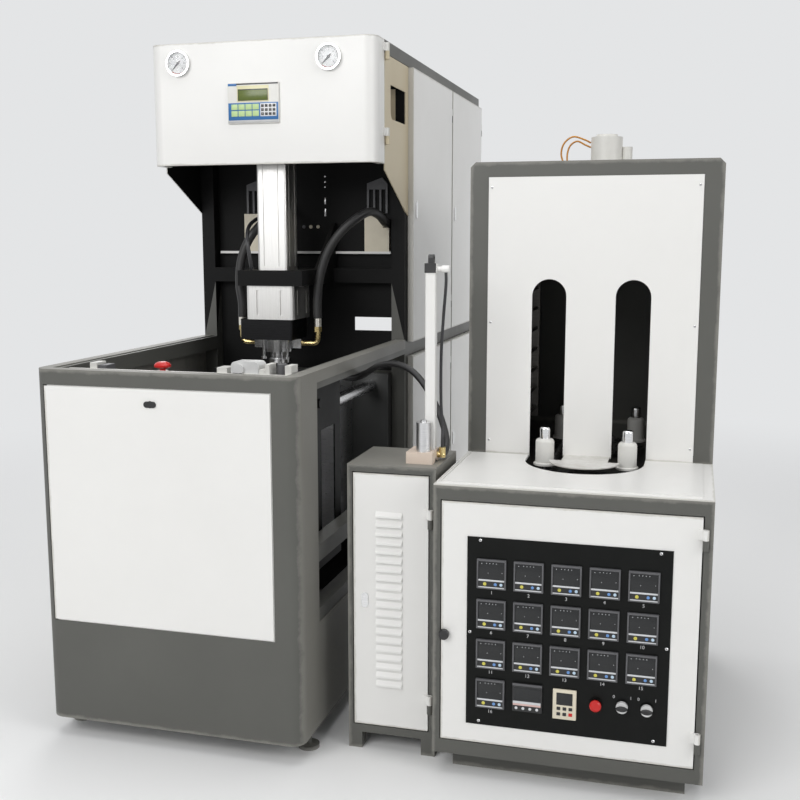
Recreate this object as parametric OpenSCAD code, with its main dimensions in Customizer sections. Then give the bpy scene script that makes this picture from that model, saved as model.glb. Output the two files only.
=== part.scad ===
// Stretch blow moulding machine set for large water bottles: blow moulder, air cabinet and preform heater.
// Millimetres, +Z up, +Y away from the operator's front; the origin is on the floor under the set's middle.
// Each unit is drawn from its own front left floor corner, with x to the right, y to the back and z up.

/* [Layout] */
// Gap between the moulder and the air cabinet
gap_moulder_air = 77; // [40:1:200]
// Gap between the air cabinet and the heater
gap_air_heater = 14; // [6:1:100]
// How far the air cabinet's front stands behind the moulder's front
air_setback = 150; // [60:1:300]
// How far the heater's front stands behind the moulder's front
heater_setback = 67; // [0:1:120]

/* [Moulder] */
// Width of the moulder over its side sheets
moulder_w = 730; // [700:1:1000]
// Length of the whole moulder
moulder_l = 2222; // [2100:1:2800]
// Length of the clamp box, up to the posts of the rear cabinet
box_l = 1015; // [1015:1:1300]
// Height of the clamp box rim
box_h = 1010; // [980:1:1060]
// Height of the header and the rear cabinet
moulder_h = 1932; // [1900:1:2200]
// Clearance under the casing
foot_h = 55; // [40:1:90]
// Thickness of the folded sheet
sheet = 3; // [2:0.5:4]
// Square tube of the frame
tube = 45; // [35:1:55]
// Radius of the folded corners
fold_r = 35; // [20:1:50]
// Width of the rim flange
rim_w = 34; // [28:1:45]

/* [Header] */
// Front of the header cover
header_y = 680; // [640:1:700]
// Depth of the header cover
cover_l = 90; // [80:1:95]
// Lower edge of the header cover
header_z = 1568; // [1500:1:1600]
// Height on the posts where the sloping edge of the header sides ends
slope_z = 1430; // [1380:1:1480]
// Radius of the cover's two upright folds
cover_r = 39; // [20:1:50]
// Diameter of a pressure gauge
gauge_d = 77; // [60:1:90]
// Width of the controller
controller_w = 166; // [140:1:190]
// Height of the controller
controller_h = 120; // [100:1:140]

/* [Clamp] */
// Depth of one mould half
mould_l = 170; // [160:1:175]
// Width of the mould
mould_w = 380; // [330:1:420]
// Height of the mould
mould_h = 520; // [500:1:530]
// Height of the mould's top
mould_top = 905; // [890:1:908]
// Diameter of the bottle's body
bottle_d = 270; // [220:1:280]
// Opening stroke of the clamp
clamp_stroke = 300; // [260:1:305]
// Thickness of each platen
platen_t = 40; // [30:1:45]
// Diameter of the tie bars
tie_d = 40; // [32:1:44]
// Angle left between the toggle links and their line when the clamp is shut
toggle_end = 5; // [3:0.5:8]
// Thickness of a toggle plate
link_t = 24; // [16:1:26]
// Diameter of the toggle pins
pin_d = 30; // [20:1:32]
// Diameter of the clamp cylinder's barrel
clamp_barrel_d = 84; // [60:1:88]

/* [Blow head] */
// Distance of the blow axis from the moulder's front
blow_y = 805; // [805:1:830]
// Width of the sealing cylinder
seal_w = 158; // [130:1:170]
// Width of the stretch cylinder
stretch_w = 99; // [85:1:110]
// Diameter of the stretch rod
rod_d = 16; // [12:1:18]
// Travel of the stretch rod
rod_stroke = 470; // [350:1:475]
// Diameter of the sealing bell
bell_d = 60; // [50:1:64]
// Travel of the sealing bell
bell_stroke = 43; // [20:1:43]

/* [Air cabinet] */
// Width of the air cabinet
air_w = 235; // [220:1:300]
// Depth of the air cabinet
air_l = 237; // [220:1:300]
// Height of the air cabinet
air_h = 772; // [740:1:900]
// Number of pressed louvres in its door
louvres = 20; // [4:1:20]
// Distance from one louvre to the next
louvre_pitch = 24; // [22:1:26]

/* [Heater] */
// Width of the heater
heater_w = 660; // [640:1:800]
// Depth of the heater
heater_l = 1040; // [1030:1:1045]
// Height of the heater's deck
deck_z = 753; // [735:1:800]
// Height of the hood's top
hood_z = 1547; // [1500:1:1700]
// Distance of the hood from the heater's front
hood_y = 413; // [405:1:425]
// Clearance under the heater's cabinet
heater_foot = 59; // [40:1:80]
// Width of a slot in the hood panel
slot_w = 92; // [80:1:110]
// Height of the top of each slot
slot_top = 1236; // [1150:1:1350]
// Radius from the front wheel's axis to the preform lane
lane_r = 110; // [106:1:114]
// Distance of the front wheel's axis from the heater's front
wheel_y = 343; // [335:1:350]
// Teeth of each chain wheel
wheel_teeth = 20; // [20:2:24]
// Chain links on each straight run
run_links = 14; // [13:1:14]
// Diameter of a preform mandrel's body
mandrel_d = 50; // [40:1:54]
// Side of a regulator's frame
regulator_w = 72; // [66:1:76]

/* [Fits] */
// Gap all round a door or a panel in its opening
door_gap = 3; // [2:0.5:5]
// Clearance on the radius of a pin, rod or guide
run_gap = 0.3; // [0.3:0.05:0.5]
// Sideways gap between the toggle's plates
plate_gap = 2; // [1:0.5:3]

/* [Hidden] */
$fn = 48;

dark = "dimgray";
white = "whitesmoke";
black = "#1c1c1e";
metal = "silver";

air_x = moulder_w + gap_moulder_air;
heater_x = air_x + air_w + gap_air_heater;
set_w = heater_x + heater_w;
blow_x = moulder_w / 2;

// Upright and rail places of the moulder
post_x = moulder_w - sheet - tube;
base_z = foot_h + 5;
mid_y = (box_l + moulder_l) / 2 - 5;
mid_z = 954;
side_rail_z = [330, 503];
top_band = 40;

// Clamp places, from the parting plane outwards
clamp_z = mould_top - mould_h / 2;
clamp_half_w = 295;
platen_half_h = 255;
tie_x = 255;
tie_z = 215;
closed_gap = 0.5;
mould_y = blow_y - mould_l - clamp_stroke;
platen_y = mould_y - platen_t;
end_plate_y = tube + 5;
lug = 50;
eye_r = pin_d / 2 + 13;
front_pivot_y = end_plate_y + platen_t + lug;
rear_pivot_y = platen_y - lug;
reach_open = rear_pivot_y - front_pivot_y;
reach_shut = reach_open + clamp_stroke - closed_gap;
link_l = reach_shut / 2 / cos(toggle_end);
open_angle = acos(reach_open / 2 / link_l);
knee_y = front_pivot_y + reach_open / 2;
knee_z = clamp_z - link_l * sin(open_angle);
shut_knee_y = front_pivot_y + reach_shut / 2;
barrel_y = (knee_y + shut_knee_y) / 2;
barrel_z = 150;
barrel_angle = atan2(barrel_y - knee_y, knee_z - barrel_z);
barrel_reach = norm([barrel_y - knee_y, knee_z - barrel_z]);
rod_eye_t = 30;
inner_x = clamp_barrel_d / 2 + 6;
outer_x = inner_x + link_t + plate_gap;

// Blow head levels
bell_gap = 1;
bell_z = mould_top + bell_stroke + bell_gap;
nozzle_z = mould_top + 80;
cap_z = nozzle_z + 41;
seal_z = cap_z + 65;
plate_z = seal_z + 106;
stretch_z = plate_z + 48;
stretch_top = moulder_h - 82;
piston_z = stretch_z + 95 + rod_stroke;

// Preform lane: round pitch points on two wheels joined by two straight runs
chain_pitch = 2 * lane_r * sin(180 / wheel_teeth);
run_l = run_links * chain_pitch;
chain_z = deck_z - 53;
bed_z = chain_z - 20;

module box(x0, x1, y0, y1, z0, z1) {
    translate([x0, y0, z0]) cube([x1 - x0, y1 - y0, z1 - z0]);
}

// A bar along x, y or z from a start point
module rod_x(p, r, l) {
    translate(p) rotate([0, 90, 0]) cylinder(r = r, h = l);
}

module rod_y(p, r, l) {
    translate(p) rotate([-90, 0, 0]) cylinder(r = r, h = l);
}

module rod_z(p, r, l) {
    translate(p) cylinder(r = r, h = l);
}

// A rectangle from the origin with the same radius at its four corners
module round_rect(w, h, r) {
    translate([r, 0]) square([w - 2 * r, h]);
    translate([0, r]) square([w, h - 2 * r]);
    for (x = [r, w - r], y = [r, h - r]) translate([x, y]) circle(r = r);
}

// Something drawn in x and z that stands at y and is thick to the back
module upright(y, t) {
    translate([0, y + t, 0]) rotate([90, 0, 0]) linear_extrude(t) children();
}

// Something drawn in y and z that stands at x and is thick to the right
module sideways(x, t) {
    translate([x, 0, 0]) rotate([90, 0, 90]) linear_extrude(t) children();
}

module at_moulder() {
    translate([-set_w / 2, -moulder_l / 2, 0]) children();
}

module at_air() {
    at_moulder() translate([air_x, air_setback, 0]) children();
}

module at_heater() {
    at_moulder() translate([heater_x, heater_setback, 0]) children();
}

// Swept tube: rings of a regular polygon stand across a smooth curve through the route's points
function pick(p, i) = p[max(0, min(len(p) - 1, i))];
function spline(a, b, c, d, t) =
    0.5 * (2 * b + (c - a) * t + (2 * a - 5 * b + 4 * c - d) * t * t + (3 * b - a - 3 * c + d) * t * t * t);
function smooth(p, n) = [
    for (i = [0 : len(p) - 2], k = [0 : n - 1])
        spline(pick(p, i - 1), p[i], p[i + 1], pick(p, i + 2), k / n),
    p[len(p) - 1]];
function unit(v) = v / norm(v);
function heading(q, i) = unit(pick(q, i + 1) - pick(q, i - 1));
function carried(u, t) = unit(u - (u * t) * t);
function frames(q, u, i) = i >= len(q) ? [] :
    let (v = carried(u, heading(q, i))) concat([v], frames(q, v, i + 1));

module hose(points, d, steps, sides) {
    q = smooth(points, steps);
    first = abs(heading(q, 0)[2]) < 0.9 ? [0, 0, 1] : [1, 0, 0];
    u = frames(q, first, 0);
    n = len(q);
    skin = [
        for (i = [0 : n - 1], k = [0 : sides - 1])
            let (a = 360 * k / sides, w = cross(heading(q, i), u[i]))
            q[i] + d / 2 * (cos(a) * u[i] + sin(a) * w)];
    walls = [
        for (i = [0 : n - 2], k = [0 : sides - 1])
            let (m = (k + 1) % sides)
            [i * sides + k, (i + 1) * sides + k, (i + 1) * sides + m, i * sides + m]];
    start = [for (k = [0 : sides - 1]) k];
    finish = [for (k = [sides - 1 : -1 : 0]) (n - 1) * sides + k];
    polyhedron(points = skin, faces = concat(walls, [start, finish]), convexity = 8);
}

// Blow moulder: frame and covers

// Outline of the clamp box in plan, with two folded front corners, let in by a distance
module box_plan(inset, back) {
    r = fold_r - inset;
    translate([inset + r, inset]) square([moulder_w - 2 * inset - 2 * r, back - inset]);
    translate([inset, inset + r]) square([moulder_w - 2 * inset, back - inset - r]);
    for (x = [inset + r, moulder_w - inset - r]) translate([x, inset + r]) circle(r = r);
}

foot_r = 28;

module moulder_frame() at_moulder() color(dark) {
    for (x = [sheet, post_x]) {
        box(x, x + tube, tube, moulder_l - sheet, base_z, base_z + tube);
        box(x, x + tube, tube, box_l, box_h - sheet - tube, box_h - sheet);
        box(x, x + tube, tube, 2 * tube, base_z, box_h - sheet);
        for (y = [box_l, mid_y, moulder_l - sheet - tube])
            box(x, x + tube, y, y + tube, base_z, moulder_h - sheet);
        box(x, x + tube, box_l, moulder_l - sheet, mid_z, mid_z + tube);
        box(x, x + tube, side_y, moulder_l - sheet, moulder_h - top_band, moulder_h - sheet);
        for (z = side_rail_z) box(x, x + tube, tube, box_l, z, z + tube);
        for (y = [120, box_l + 22, moulder_l - 80]) {
            rod_z([x + tube / 2, y, 0], foot_r, 10);
            rod_z([x + tube / 2, y, 0], 8, base_z + 1);
        }
    }
    // Cross members, and the head beam that carries the blow head
    for (z = [base_z, clamp_z - platen_half_h, clamp_z + platen_half_h - tube])
        box(sheet, moulder_w - sheet, box_l, box_l + tube, z, z + tube);
    for (y = [tube, moulder_l - sheet - tube])
        box(sheet, moulder_w - sheet, y, y + tube, base_z, base_z + tube);
    box(sheet, moulder_w - sheet, box_l, box_l + tube, plate_z, stretch_z);
    // Bearer with the trunnion lugs of the clamp cylinder
    box(sheet, moulder_w - sheet, barrel_y - tube / 2, barrel_y + tube / 2, base_z, base_z + tube);
    for (s = [-1, 1]) translate([blow_x + s * (rod_eye_t / 2 + plate_gap + 9), 0, 0])
        sideways(-8, 16) {
            translate([barrel_y - 22, base_z + tube - 1]) square([44, barrel_z - base_z - tube + 1]);
            translate([barrel_y, barrel_z]) circle(r = 22);
        }
    rod_x([blow_x - rod_eye_t / 2 - plate_gap - 20, barrel_y, barrel_z], pin_d / 2,
        rod_eye_t + 2 * plate_gap + 40);
    guard_track();
    // Lower hinge knuckles with their pins and leaves
    for (y = [front_hinge_y, rear_hinge_y], z = door_hinge_z) {
        hinge_pin([door_hinge_x, y], z);
        box(door_x - 0.5, door_hinge_x - 4, y - 3, y + 3, z - 24, z);
    }
}

// Channel under the right rim that carries the sliding guard
track_y0 = 2 * tube + 60;
guard_x = post_x - 14;

module guard_track() {
    difference() {
        box(guard_x - 10, post_x, track_y0, box_l - 42, box_h - 44, box_h - 12);
        box(guard_x - 7, guard_x + 11, track_y0 - 1, box_l, box_h - 40, box_h - 15);
        box(guard_x - 3, guard_x + 7, track_y0 - 1, box_l, box_h - 45, box_h - 39);
    }
}

panel_x = [29, moulder_w - 72];
panel_z = [334, box_h - 44];
side_front = 143;
skirt_z = 340;

module front_casing() at_moulder() color(dark) difference() {
    union() {
        // Folded front with its two corners
        translate([0, 0, foot_h]) linear_extrude(box_h - foot_h) difference() {
            intersection() {
                box_plan(0, box_l);
                square([moulder_w, tube - 1]);
            }
            box_plan(sheet, box_l + 1);
        }
        // Left side, right strip, right skirt and the drop of the rim
        box(0, sheet, tube - 2, box_l, foot_h, box_h);
        box(moulder_w - sheet, moulder_w, tube - 2, side_front, foot_h, box_h);
        box(moulder_w - sheet, moulder_w, side_front - 1, box_l, foot_h, skirt_z);
        box(moulder_w - sheet, moulder_w, side_front - 1, box_l, box_h - 30, box_h);
        // Rim flange
        translate([0, 0, box_h - sheet]) linear_extrude(sheet) difference() {
            box_plan(0, box_l);
            translate([rim_w, rim_w]) square([moulder_w - 2 * rim_w, box_l]);
        }
    }
    box(panel_x[0] - door_gap, panel_x[1] + door_gap, -1, sheet + 1,
            panel_z[0] - door_gap, panel_z[1] + door_gap);
}

latch_x = blow_x - 32;
latch_z = box_h - 82;

module front_panel() at_moulder() color(white) difference() {
    union() {
        box(panel_x[0], panel_x[1], 0, sheet, panel_z[0], panel_z[1]);
        // Backing tray with a folded edge that laps behind the casing
        difference() {
            box(fold_r + 1, panel_x[1] + 18, sheet, sheet + 15, panel_z[0] - 18, panel_z[1] + 18);
            box(fold_r + 4, panel_x[1] + 15, sheet + 2, sheet + 16, panel_z[0] - 15, panel_z[1] + 15);
        }
    }
    rod_y([latch_x, -1, latch_z], 9 + run_gap, sheet + 5);
}

module front_latch() at_moulder() color("darkslategray") {
    upright(-3, 3) translate([latch_x - 17, latch_z - 8]) round_rect(34, 16, 7.9);
    rod_y([latch_x, -0.5, latch_z], 9, sheet + 6);
    upright(sheet + 5, 3) translate([latch_x - 9, latch_z - 9]) round_rect(18, 44, 8.9);
}

side_y = header_y + cover_l + 2;
cut_y = [side_y + 66, box_l];
cut_z = [moulder_h - 225, moulder_h - 123];
cut_r = 25;

module header_side(x) {
    difference() {
        sideways(x, sheet)
            polygon([[side_y, header_z - 18], [box_l, slope_z], [box_l + 35, slope_z - 12],
                [box_l + 35, moulder_h - top_band], [side_y, moulder_h - top_band]]);
        // Vent cut-out with a rounded lower corner
        sideways(x - 1, sheet + 2) {
            translate([cut_y[0], cut_z[0] + cut_r])
                square([cut_y[1] - cut_y[0], cut_z[1] - cut_z[0] - cut_r]);
            translate([cut_y[0] + cut_r, cut_z[0]]) square([cut_y[1] - cut_y[0] - cut_r, cut_r + 1]);
            translate([cut_y[0] + cut_r, cut_z[0] + cut_r]) circle(r = cut_r);
        }
    }
}

// Slot in the back for cables and air
back_slot_x = [160, 352];
back_slot_z = [mid_z - 29, mid_z + 43];
// Drilled strip on the front of the post, seen through the vent
strip_w = 41;
strip_holes = 4;

module cabinet_shell() at_moulder() color(white) {
    header_side(0);
    header_side(moulder_w - sheet);
    // Lower knuckles of the cover's hinges
    for (z = cover_hinge_z) {
        hinge_pin(cover_hinge, z + 25);
        box(moulder_w - 0.5, cover_hinge[0] - 4, cover_hinge[1] - 2, cover_hinge[1] + 14, z + 1, z + 25);
    }
    // Left side, back and top of the rear cabinet
    box(0, sheet, box_l + tube + 1, moulder_l, foot_h, moulder_h - sheet);
    difference() {
        box(sheet, moulder_w - sheet, moulder_l - sheet, moulder_l, foot_h, moulder_h - sheet);
        box(back_slot_x[0], back_slot_x[1], moulder_l - sheet - 1, moulder_l + 1,
            back_slot_z[0], back_slot_z[1]);
    }
    box(0, moulder_w, side_y, moulder_l, moulder_h - sheet, moulder_h);
    // Folded drop of the roof over the doors
    box(moulder_w - sheet, moulder_w, side_y, moulder_l, moulder_h - top_band + 2, moulder_h - 1);
    difference() {
        box(post_x + 14 - strip_w, post_x + 14, box_l - sheet, box_l, cut_z[0] - 10, cut_z[1] + 10);
        for (i = [0 : strip_holes - 1])
            rod_y([post_x - 5, box_l - sheet - 1, cut_z[0] + 20 + 22 * i], 3.5, sheet + 2);
    }
}

gauge_x = [101, moulder_w - 143];
gauge_z = moulder_h - 59;
controller_x = blow_x - 102;
controller_z = header_z + 120;
hinge_r = 7;
cover_hinge = [moulder_w + hinge_r + 0.5, header_y + cover_l + 6];
cover_hinge_z = [header_z + 57, moulder_h - 59];

// Lift-off hinge: the upper knuckle is welded to the leaf, the lower one to the post
module knuckle(c, z, l) {
    difference() {
        rod_z([c[0], c[1], z], hinge_r, l);
        rod_z([c[0], c[1], z - 1], 3 + run_gap, l + 2);
    }
}

module header_cover() at_moulder() color(white) difference() {
    union() {
        translate([0, header_y, header_z]) linear_extrude(moulder_h - header_z) difference() {
            cover_plan(0);
            cover_plan(sheet);
        }
        for (z = [header_z, moulder_h - sheet])
            translate([0, header_y, z]) linear_extrude(sheet) difference() {
                cover_plan(0);
                translate([22, 22]) square([moulder_w - 44, cover_l]);
            }
        for (z = cover_hinge_z) {
            knuckle(cover_hinge, z + 25.5, 24);
            box(moulder_w - 0.5, moulder_w + 3, side_y - 16, side_y - 2, z + 25.5, z + 49.5);
            box(moulder_w + 0.5, moulder_w + 5, side_y - 3, side_y + 2, z + 25.5, z + 49.5);
        }
    }
    for (x = gauge_x) rod_y([x, header_y - 1, gauge_z], gauge_d / 2 - 6, sheet + 3);
    box(controller_x + 6, controller_x + controller_w - 6, header_y - 1, header_y + sheet + 1,
        controller_z + 6, controller_z + controller_h - 6);
    for (z = cover_hinge_z) rod_z([cover_hinge[0], cover_hinge[1], z + 20], 3 + run_gap, 40);
}

module cover_plan(inset) {
    r = cover_r - inset;
    translate([inset + r, inset]) square([moulder_w - 2 * inset - 2 * r, cover_l - inset]);
    translate([inset, inset + r]) square([moulder_w - 2 * inset, cover_l - inset - r]);
    for (x = [inset + r, moulder_w - inset - r]) translate([x, inset + r]) circle(r = r);
}

module pressure_gauges() at_moulder() color(metal) for (x = gauge_x) translate([x, header_y, gauge_z]) {
    difference() {
        rod_y([0, -12, 0], gauge_d / 2, 12);
        rod_y([0, -13, 0], gauge_d / 2 - 5, 8);
    }
    rod_y([0, 0, 0], gauge_d / 2 - 7, 22);
    rod_y([0, 22, 0], 8, 26);
}

// Needle with its hub, in front of the dial, resting at the lower left
needle_rest = -135;

module needle(x) {
    translate([x, header_y, gauge_z]) {
        rod_y([0, -9, 0], 4, 3.7);
        rotate([0, needle_rest, 0]) upright(-7.5, 1)
            polygon([[-3, 0], [-1.2, -10], [1.2, -10], [3, 0], [0.6, 27], [-0.6, 27]]);
    }
}

module left_needle() at_moulder() color(black) needle(gauge_x[0]);

module right_needle() at_moulder() color(black) needle(gauge_x[1]);

module controller() at_moulder() color("steelblue") {
    upright(header_y - 7, 7) translate([controller_x, controller_z])
        round_rect(controller_w, controller_h, 5);
    box(controller_x + 7, controller_x + controller_w - 7, header_y, header_y + 45,
        controller_z + 7, controller_z + controller_h - 7);
    // Display frame and keys
    box(controller_x + 22, controller_x + 108, header_y - 9, header_y - 7,
        controller_z + 66, controller_z + 104);
    for (i = [0 : 3], k = [0 : 1])
        box(controller_x + 14 + 26 * i, controller_x + 34 + 26 * i, header_y - 9, header_y - 7,
            controller_z + 12 + 24 * k, controller_z + 28 + 24 * k);
    for (i = [0 : 2], k = [0 : 3])
        box(controller_x + 118 + 14 * i, controller_x + 129 + 14 * i, header_y - 9, header_y - 7,
            controller_z + 14 + 17 * k, controller_z + 26 + 17 * k);
}

door_t = 20;
door_x = moulder_w - sheet;
front_hinge_y = mid_y + tube / 2 + 1;
rear_hinge_y = moulder_l - sheet - 6;
upper_z = [mid_z + tube + 2, moulder_h - top_band - 1];
lower_z = [base_z + 50, mid_z - 2];
door_hinge_x = door_x + door_t - hinge_r;
door_hinge_z = [base_z + 155, mid_z - 89, mid_z + 151, moulder_h - 132];
upper_lock_z = mid_z + 484;
lower_lock_z = mid_z - 394;

// Folded pan door with its lock; y0 is the latch edge, y1 the hinge edge
module pan_door(y0, y1, z, hinge_y, latch_z) {
    difference() {
        box(door_x + 1, door_x + door_t, y0, y1, z[0], z[1]);
        box(door_x, door_x + door_t - 2, y0 + 2, y1 - 2, z[0] + 2, z[1] - 2);
    }
    for (h = door_hinge_z) if (h > z[0] && h < z[1]) {
        knuckle([door_hinge_x, hinge_y], h + 0.5, 24);
        box(door_x + door_t - 5, door_x + door_t - 2, y1 - 8, hinge_y - 4, h + 0.5, h + 24.5);
    }
    // Oval lock plate
    sideways(door_x + door_t, 3) translate([y0 + 30, latch_z - 28]) round_rect(18, 56, 8.9);
}

// The lower knuckle and pin of a lift-off hinge, on the post
module hinge_pin(c, z) {
    rod_z([c[0], c[1], z - 24], hinge_r, 24);
    rod_z([c[0], c[1], z - 1], 3, 24);
}

module upper_door_front() at_moulder() color(white)
    pan_door(box_l + 37, front_hinge_y - 8, upper_z, front_hinge_y, upper_lock_z);

module upper_door_rear() at_moulder() color(white)
    pan_door(front_hinge_y + 8, rear_hinge_y - 8, upper_z, rear_hinge_y, upper_lock_z);

module lower_door_front() at_moulder() color(white)
    pan_door(box_l + 37, front_hinge_y - 8, lower_z, front_hinge_y, lower_lock_z);

module lower_door_rear() at_moulder() color(white)
    pan_door(front_hinge_y + 8, rear_hinge_y - 8, lower_z, rear_hinge_y, lower_lock_z);

guard_y = [255, 500];
guard_z = [430, box_h - 60];

module side_guard() at_moulder() color(black) {
    difference() {
        box(guard_x, guard_x + 4, guard_y[0], guard_y[1], guard_z[0], guard_z[1] - 2);
        box(guard_x - 1, guard_x + 5, guard_y[0] + 80, guard_y[1] - 50, guard_z[0] + 90, guard_z[1] - 130);
    }
    // Neck and running head in the channel
    box(guard_x, guard_x + 4, guard_y[0], guard_y[1], guard_z[1] - 3, box_h - 34);
    box(guard_x - 5, guard_x + 9, guard_y[0], guard_y[1], box_h - 40 + run_gap, box_h - 17);
    // Bright edge bracket with the round handle
    box(guard_x + 4, guard_x + 8, guard_y[0], guard_y[0] + 34, guard_z[0], guard_z[1] - 2);
    rod_x([guard_x + 8, guard_y[0] + 17, guard_z[1] - 45], 13, 18);
}

plate_x = [blow_x - 101, blow_x + 114];
gusset_t = 12;
gusset_x = [plate_x[0], plate_x[1] - gusset_t];
ledge_z = stretch_z + 56;
// Left sides and width of the two relay blocks on the ledge
relay_x = [149, post_x - 101];
relay_w = 85;
relay_top = ledge_z + 126;
// The right blow hose goes past the corner of its block
hose_notch = [21, 48];
frame_h = 79;

// Open bracket over a relay block: four bars under a sloping head
module relay_bracket(x) {
    upright(box_l + tube - 8, 8) translate([x + 6, relay_top]) {
        for (i = [0 : 3]) translate([21.5 * i, 0]) square([7, frame_h]);
        translate([0, frame_h - 1]) polygon([[0, 0], [71.5, 0], [71.5, 18], [52, 38], [0, 20]]);
    }
}

module inner_panel() at_moulder() color(black) {
    difference() {
        box(sheet + tube, post_x, box_l + tube, box_l + tube + 2, base_z + tube, moulder_h - top_band);
        box(post_x - 142, post_x - 10, box_l, box_l + tube + 4, cap_z + 9, cap_z + 54);
    }
    // Ledge, cut away round the head plate's gussets
    difference() {
        box(sheet + tube + 10, post_x - 10, box_l + tube - 20, box_l + tube, ledge_z - 8, ledge_z);
        for (x = gusset_x)
            box(x - 1, x + gusset_t + 1, box_l, box_l + tube + 1, ledge_z - 10, ledge_z + 10);
    }
    for (x = relay_x) {
        difference() {
            box(x, x + relay_w, box_l + tube - 18, box_l + tube, ledge_z, relay_top);
            if (x > blow_x) box(x + relay_w - hose_notch[0], x + relay_w + 1, box_l, box_l + tube + 1,
                relay_top - hose_notch[1], relay_top + 1);
        }
        relay_bracket(x);
    }
}

// Blow head

module head_plate() at_moulder() color(black) {
    difference() {
        box(plate_x[0], plate_x[1], blow_y - 90, box_l, plate_z, stretch_z);
        rod_z([blow_x, blow_y, plate_z - 1], rod_d / 2 + 1, stretch_z - plate_z + 2);
    }
    // Gussets that brace the plate against the head beam
    for (x = gusset_x) sideways(x, gusset_t) polygon([[blow_y + 55, stretch_z], [box_l + tube, stretch_z],
        [box_l + tube, stretch_z + 150], [box_l + tube - 20, stretch_z + 150]]);
}

// Square cylinder profile with rounded corners, side grooves and a bore
module profile_bar(w, z0, z1, bore, r, groove) {
    difference() {
        translate([blow_x - w / 2, blow_y - w / 2, z0]) linear_extrude(z1 - z0) round_rect(w, w, r);
        for (a = [0 : 90 : 270], s = [-1, 1]) translate([blow_x, blow_y, z0]) rotate([0, 0, a])
            translate([w / 2 - groove / 2, s * w / 4 - groove / 2, 12]) cube([groove, groove, z1 - z0 - 24]);
        rod_z([blow_x, blow_y, z0 + 12], bore, z1 - z0 - 24);
        rod_z([blow_x, blow_y, z0 - 1], rod_d / 2 + run_gap, z1 - z0 + 2);
    }
}

module seal_cylinder() at_moulder() color(metal) {
    difference() {
        union() {
            translate([blow_x - 105, blow_y - 70, cap_z]) linear_extrude(seal_z - cap_z)
                round_rect(176, 140, 8);
            translate([blow_x - seal_w / 2, blow_y - seal_w / 2, seal_z])
                linear_extrude(plate_z - seal_z) round_rect(seal_w, seal_w, 12);
        }
        for (a = [0 : 90 : 270], s = [-1, 1]) translate([blow_x, blow_y, seal_z]) rotate([0, 0, a])
            translate([seal_w / 2 - 4, s * seal_w / 4 - 4, 14]) cube([8, 8, plate_z - seal_z - 28]);
        rod_z([blow_x, blow_y, cap_z - 1], bell_d / 2 + run_gap, 60);
        rod_z([blow_x, blow_y, cap_z], rod_d / 2 + 1, 200);
    }
}

module stretch_cylinder() at_moulder() color(metal)
    profile_bar(stretch_w, stretch_z, stretch_top, stretch_w / 2 - 12, 9, 6);

module blow_nozzle() at_moulder() color(metal) {
    difference() {
        rod_z([blow_x, blow_y, nozzle_z], bell_d / 2 + 16, cap_z - nozzle_z);
        rod_z([blow_x, blow_y, nozzle_z - 1], bell_d / 2 + run_gap, 50);
    }
    // Side port blocks that take the bent air tubes, and the guide studs
    for (s = [-1, 1]) {
        box(blow_x + s * 62 - 18, blow_x + s * 62 + 18, blow_y - 14, blow_y + 14, cap_z - 30, cap_z);
        rod_z([blow_x + s * 40, blow_y - 34, nozzle_z - 23], 5, cap_z - nozzle_z + 23);
        rod_z([blow_x + s * 40, blow_y - 34, nozzle_z - 23], 9, 8);
    }
    elbow(-1, elbow_x[0]);
    elbow(1, elbow_x[1]);
}

module sealing_bell() at_moulder() color(metal) difference() {
    union() {
        rod_z([blow_x, blow_y, bell_z], bell_d / 2, 120);
        rod_z([blow_x, blow_y, bell_z], bell_d / 2 + 6, 14);
    }
    rod_z([blow_x, blow_y, bell_z - 1], rod_d / 2 + 6, 130);
    rod_z([blow_x, blow_y, bell_z - 1], 22, 16);
}

module stretch_rod() at_moulder() color(metal) {
    rod_z([blow_x, blow_y, bell_z + 12], rod_d / 2, piston_z - bell_z);
    translate([blow_x, blow_y, bell_z + 12]) sphere(r = rod_d / 2);
    rod_z([blow_x, blow_y, piston_z], stretch_w / 2 - 12 - run_gap, 20);
}

elbow_x = [blow_x - 127, blow_x + 132];

// Bent bright tube from the nozzle's side port up to the hose ferrule
module elbow(s, x) {
    px = blow_x + s * 80;
    rod_x([min(px, x - s * 16), blow_y, cap_z - 14], 8, abs(x - s * 16 - px));
    translate([x - s * 16, blow_y, cap_z + 2]) rotate([90, 0, 0]) rotate([0, 0, s > 0 ? -90 : 180])
        rotate_extrude(angle = 90) translate([16, 0]) circle(r = 8);
    rod_z([x, blow_y, cap_z + 2], 8, 24);
    translate([x, blow_y, cap_z + 24]) cylinder(r = 13, h = 16, $fn = 6);
    rod_z([x, blow_y, cap_z + 40], 12, 26);
}

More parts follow.
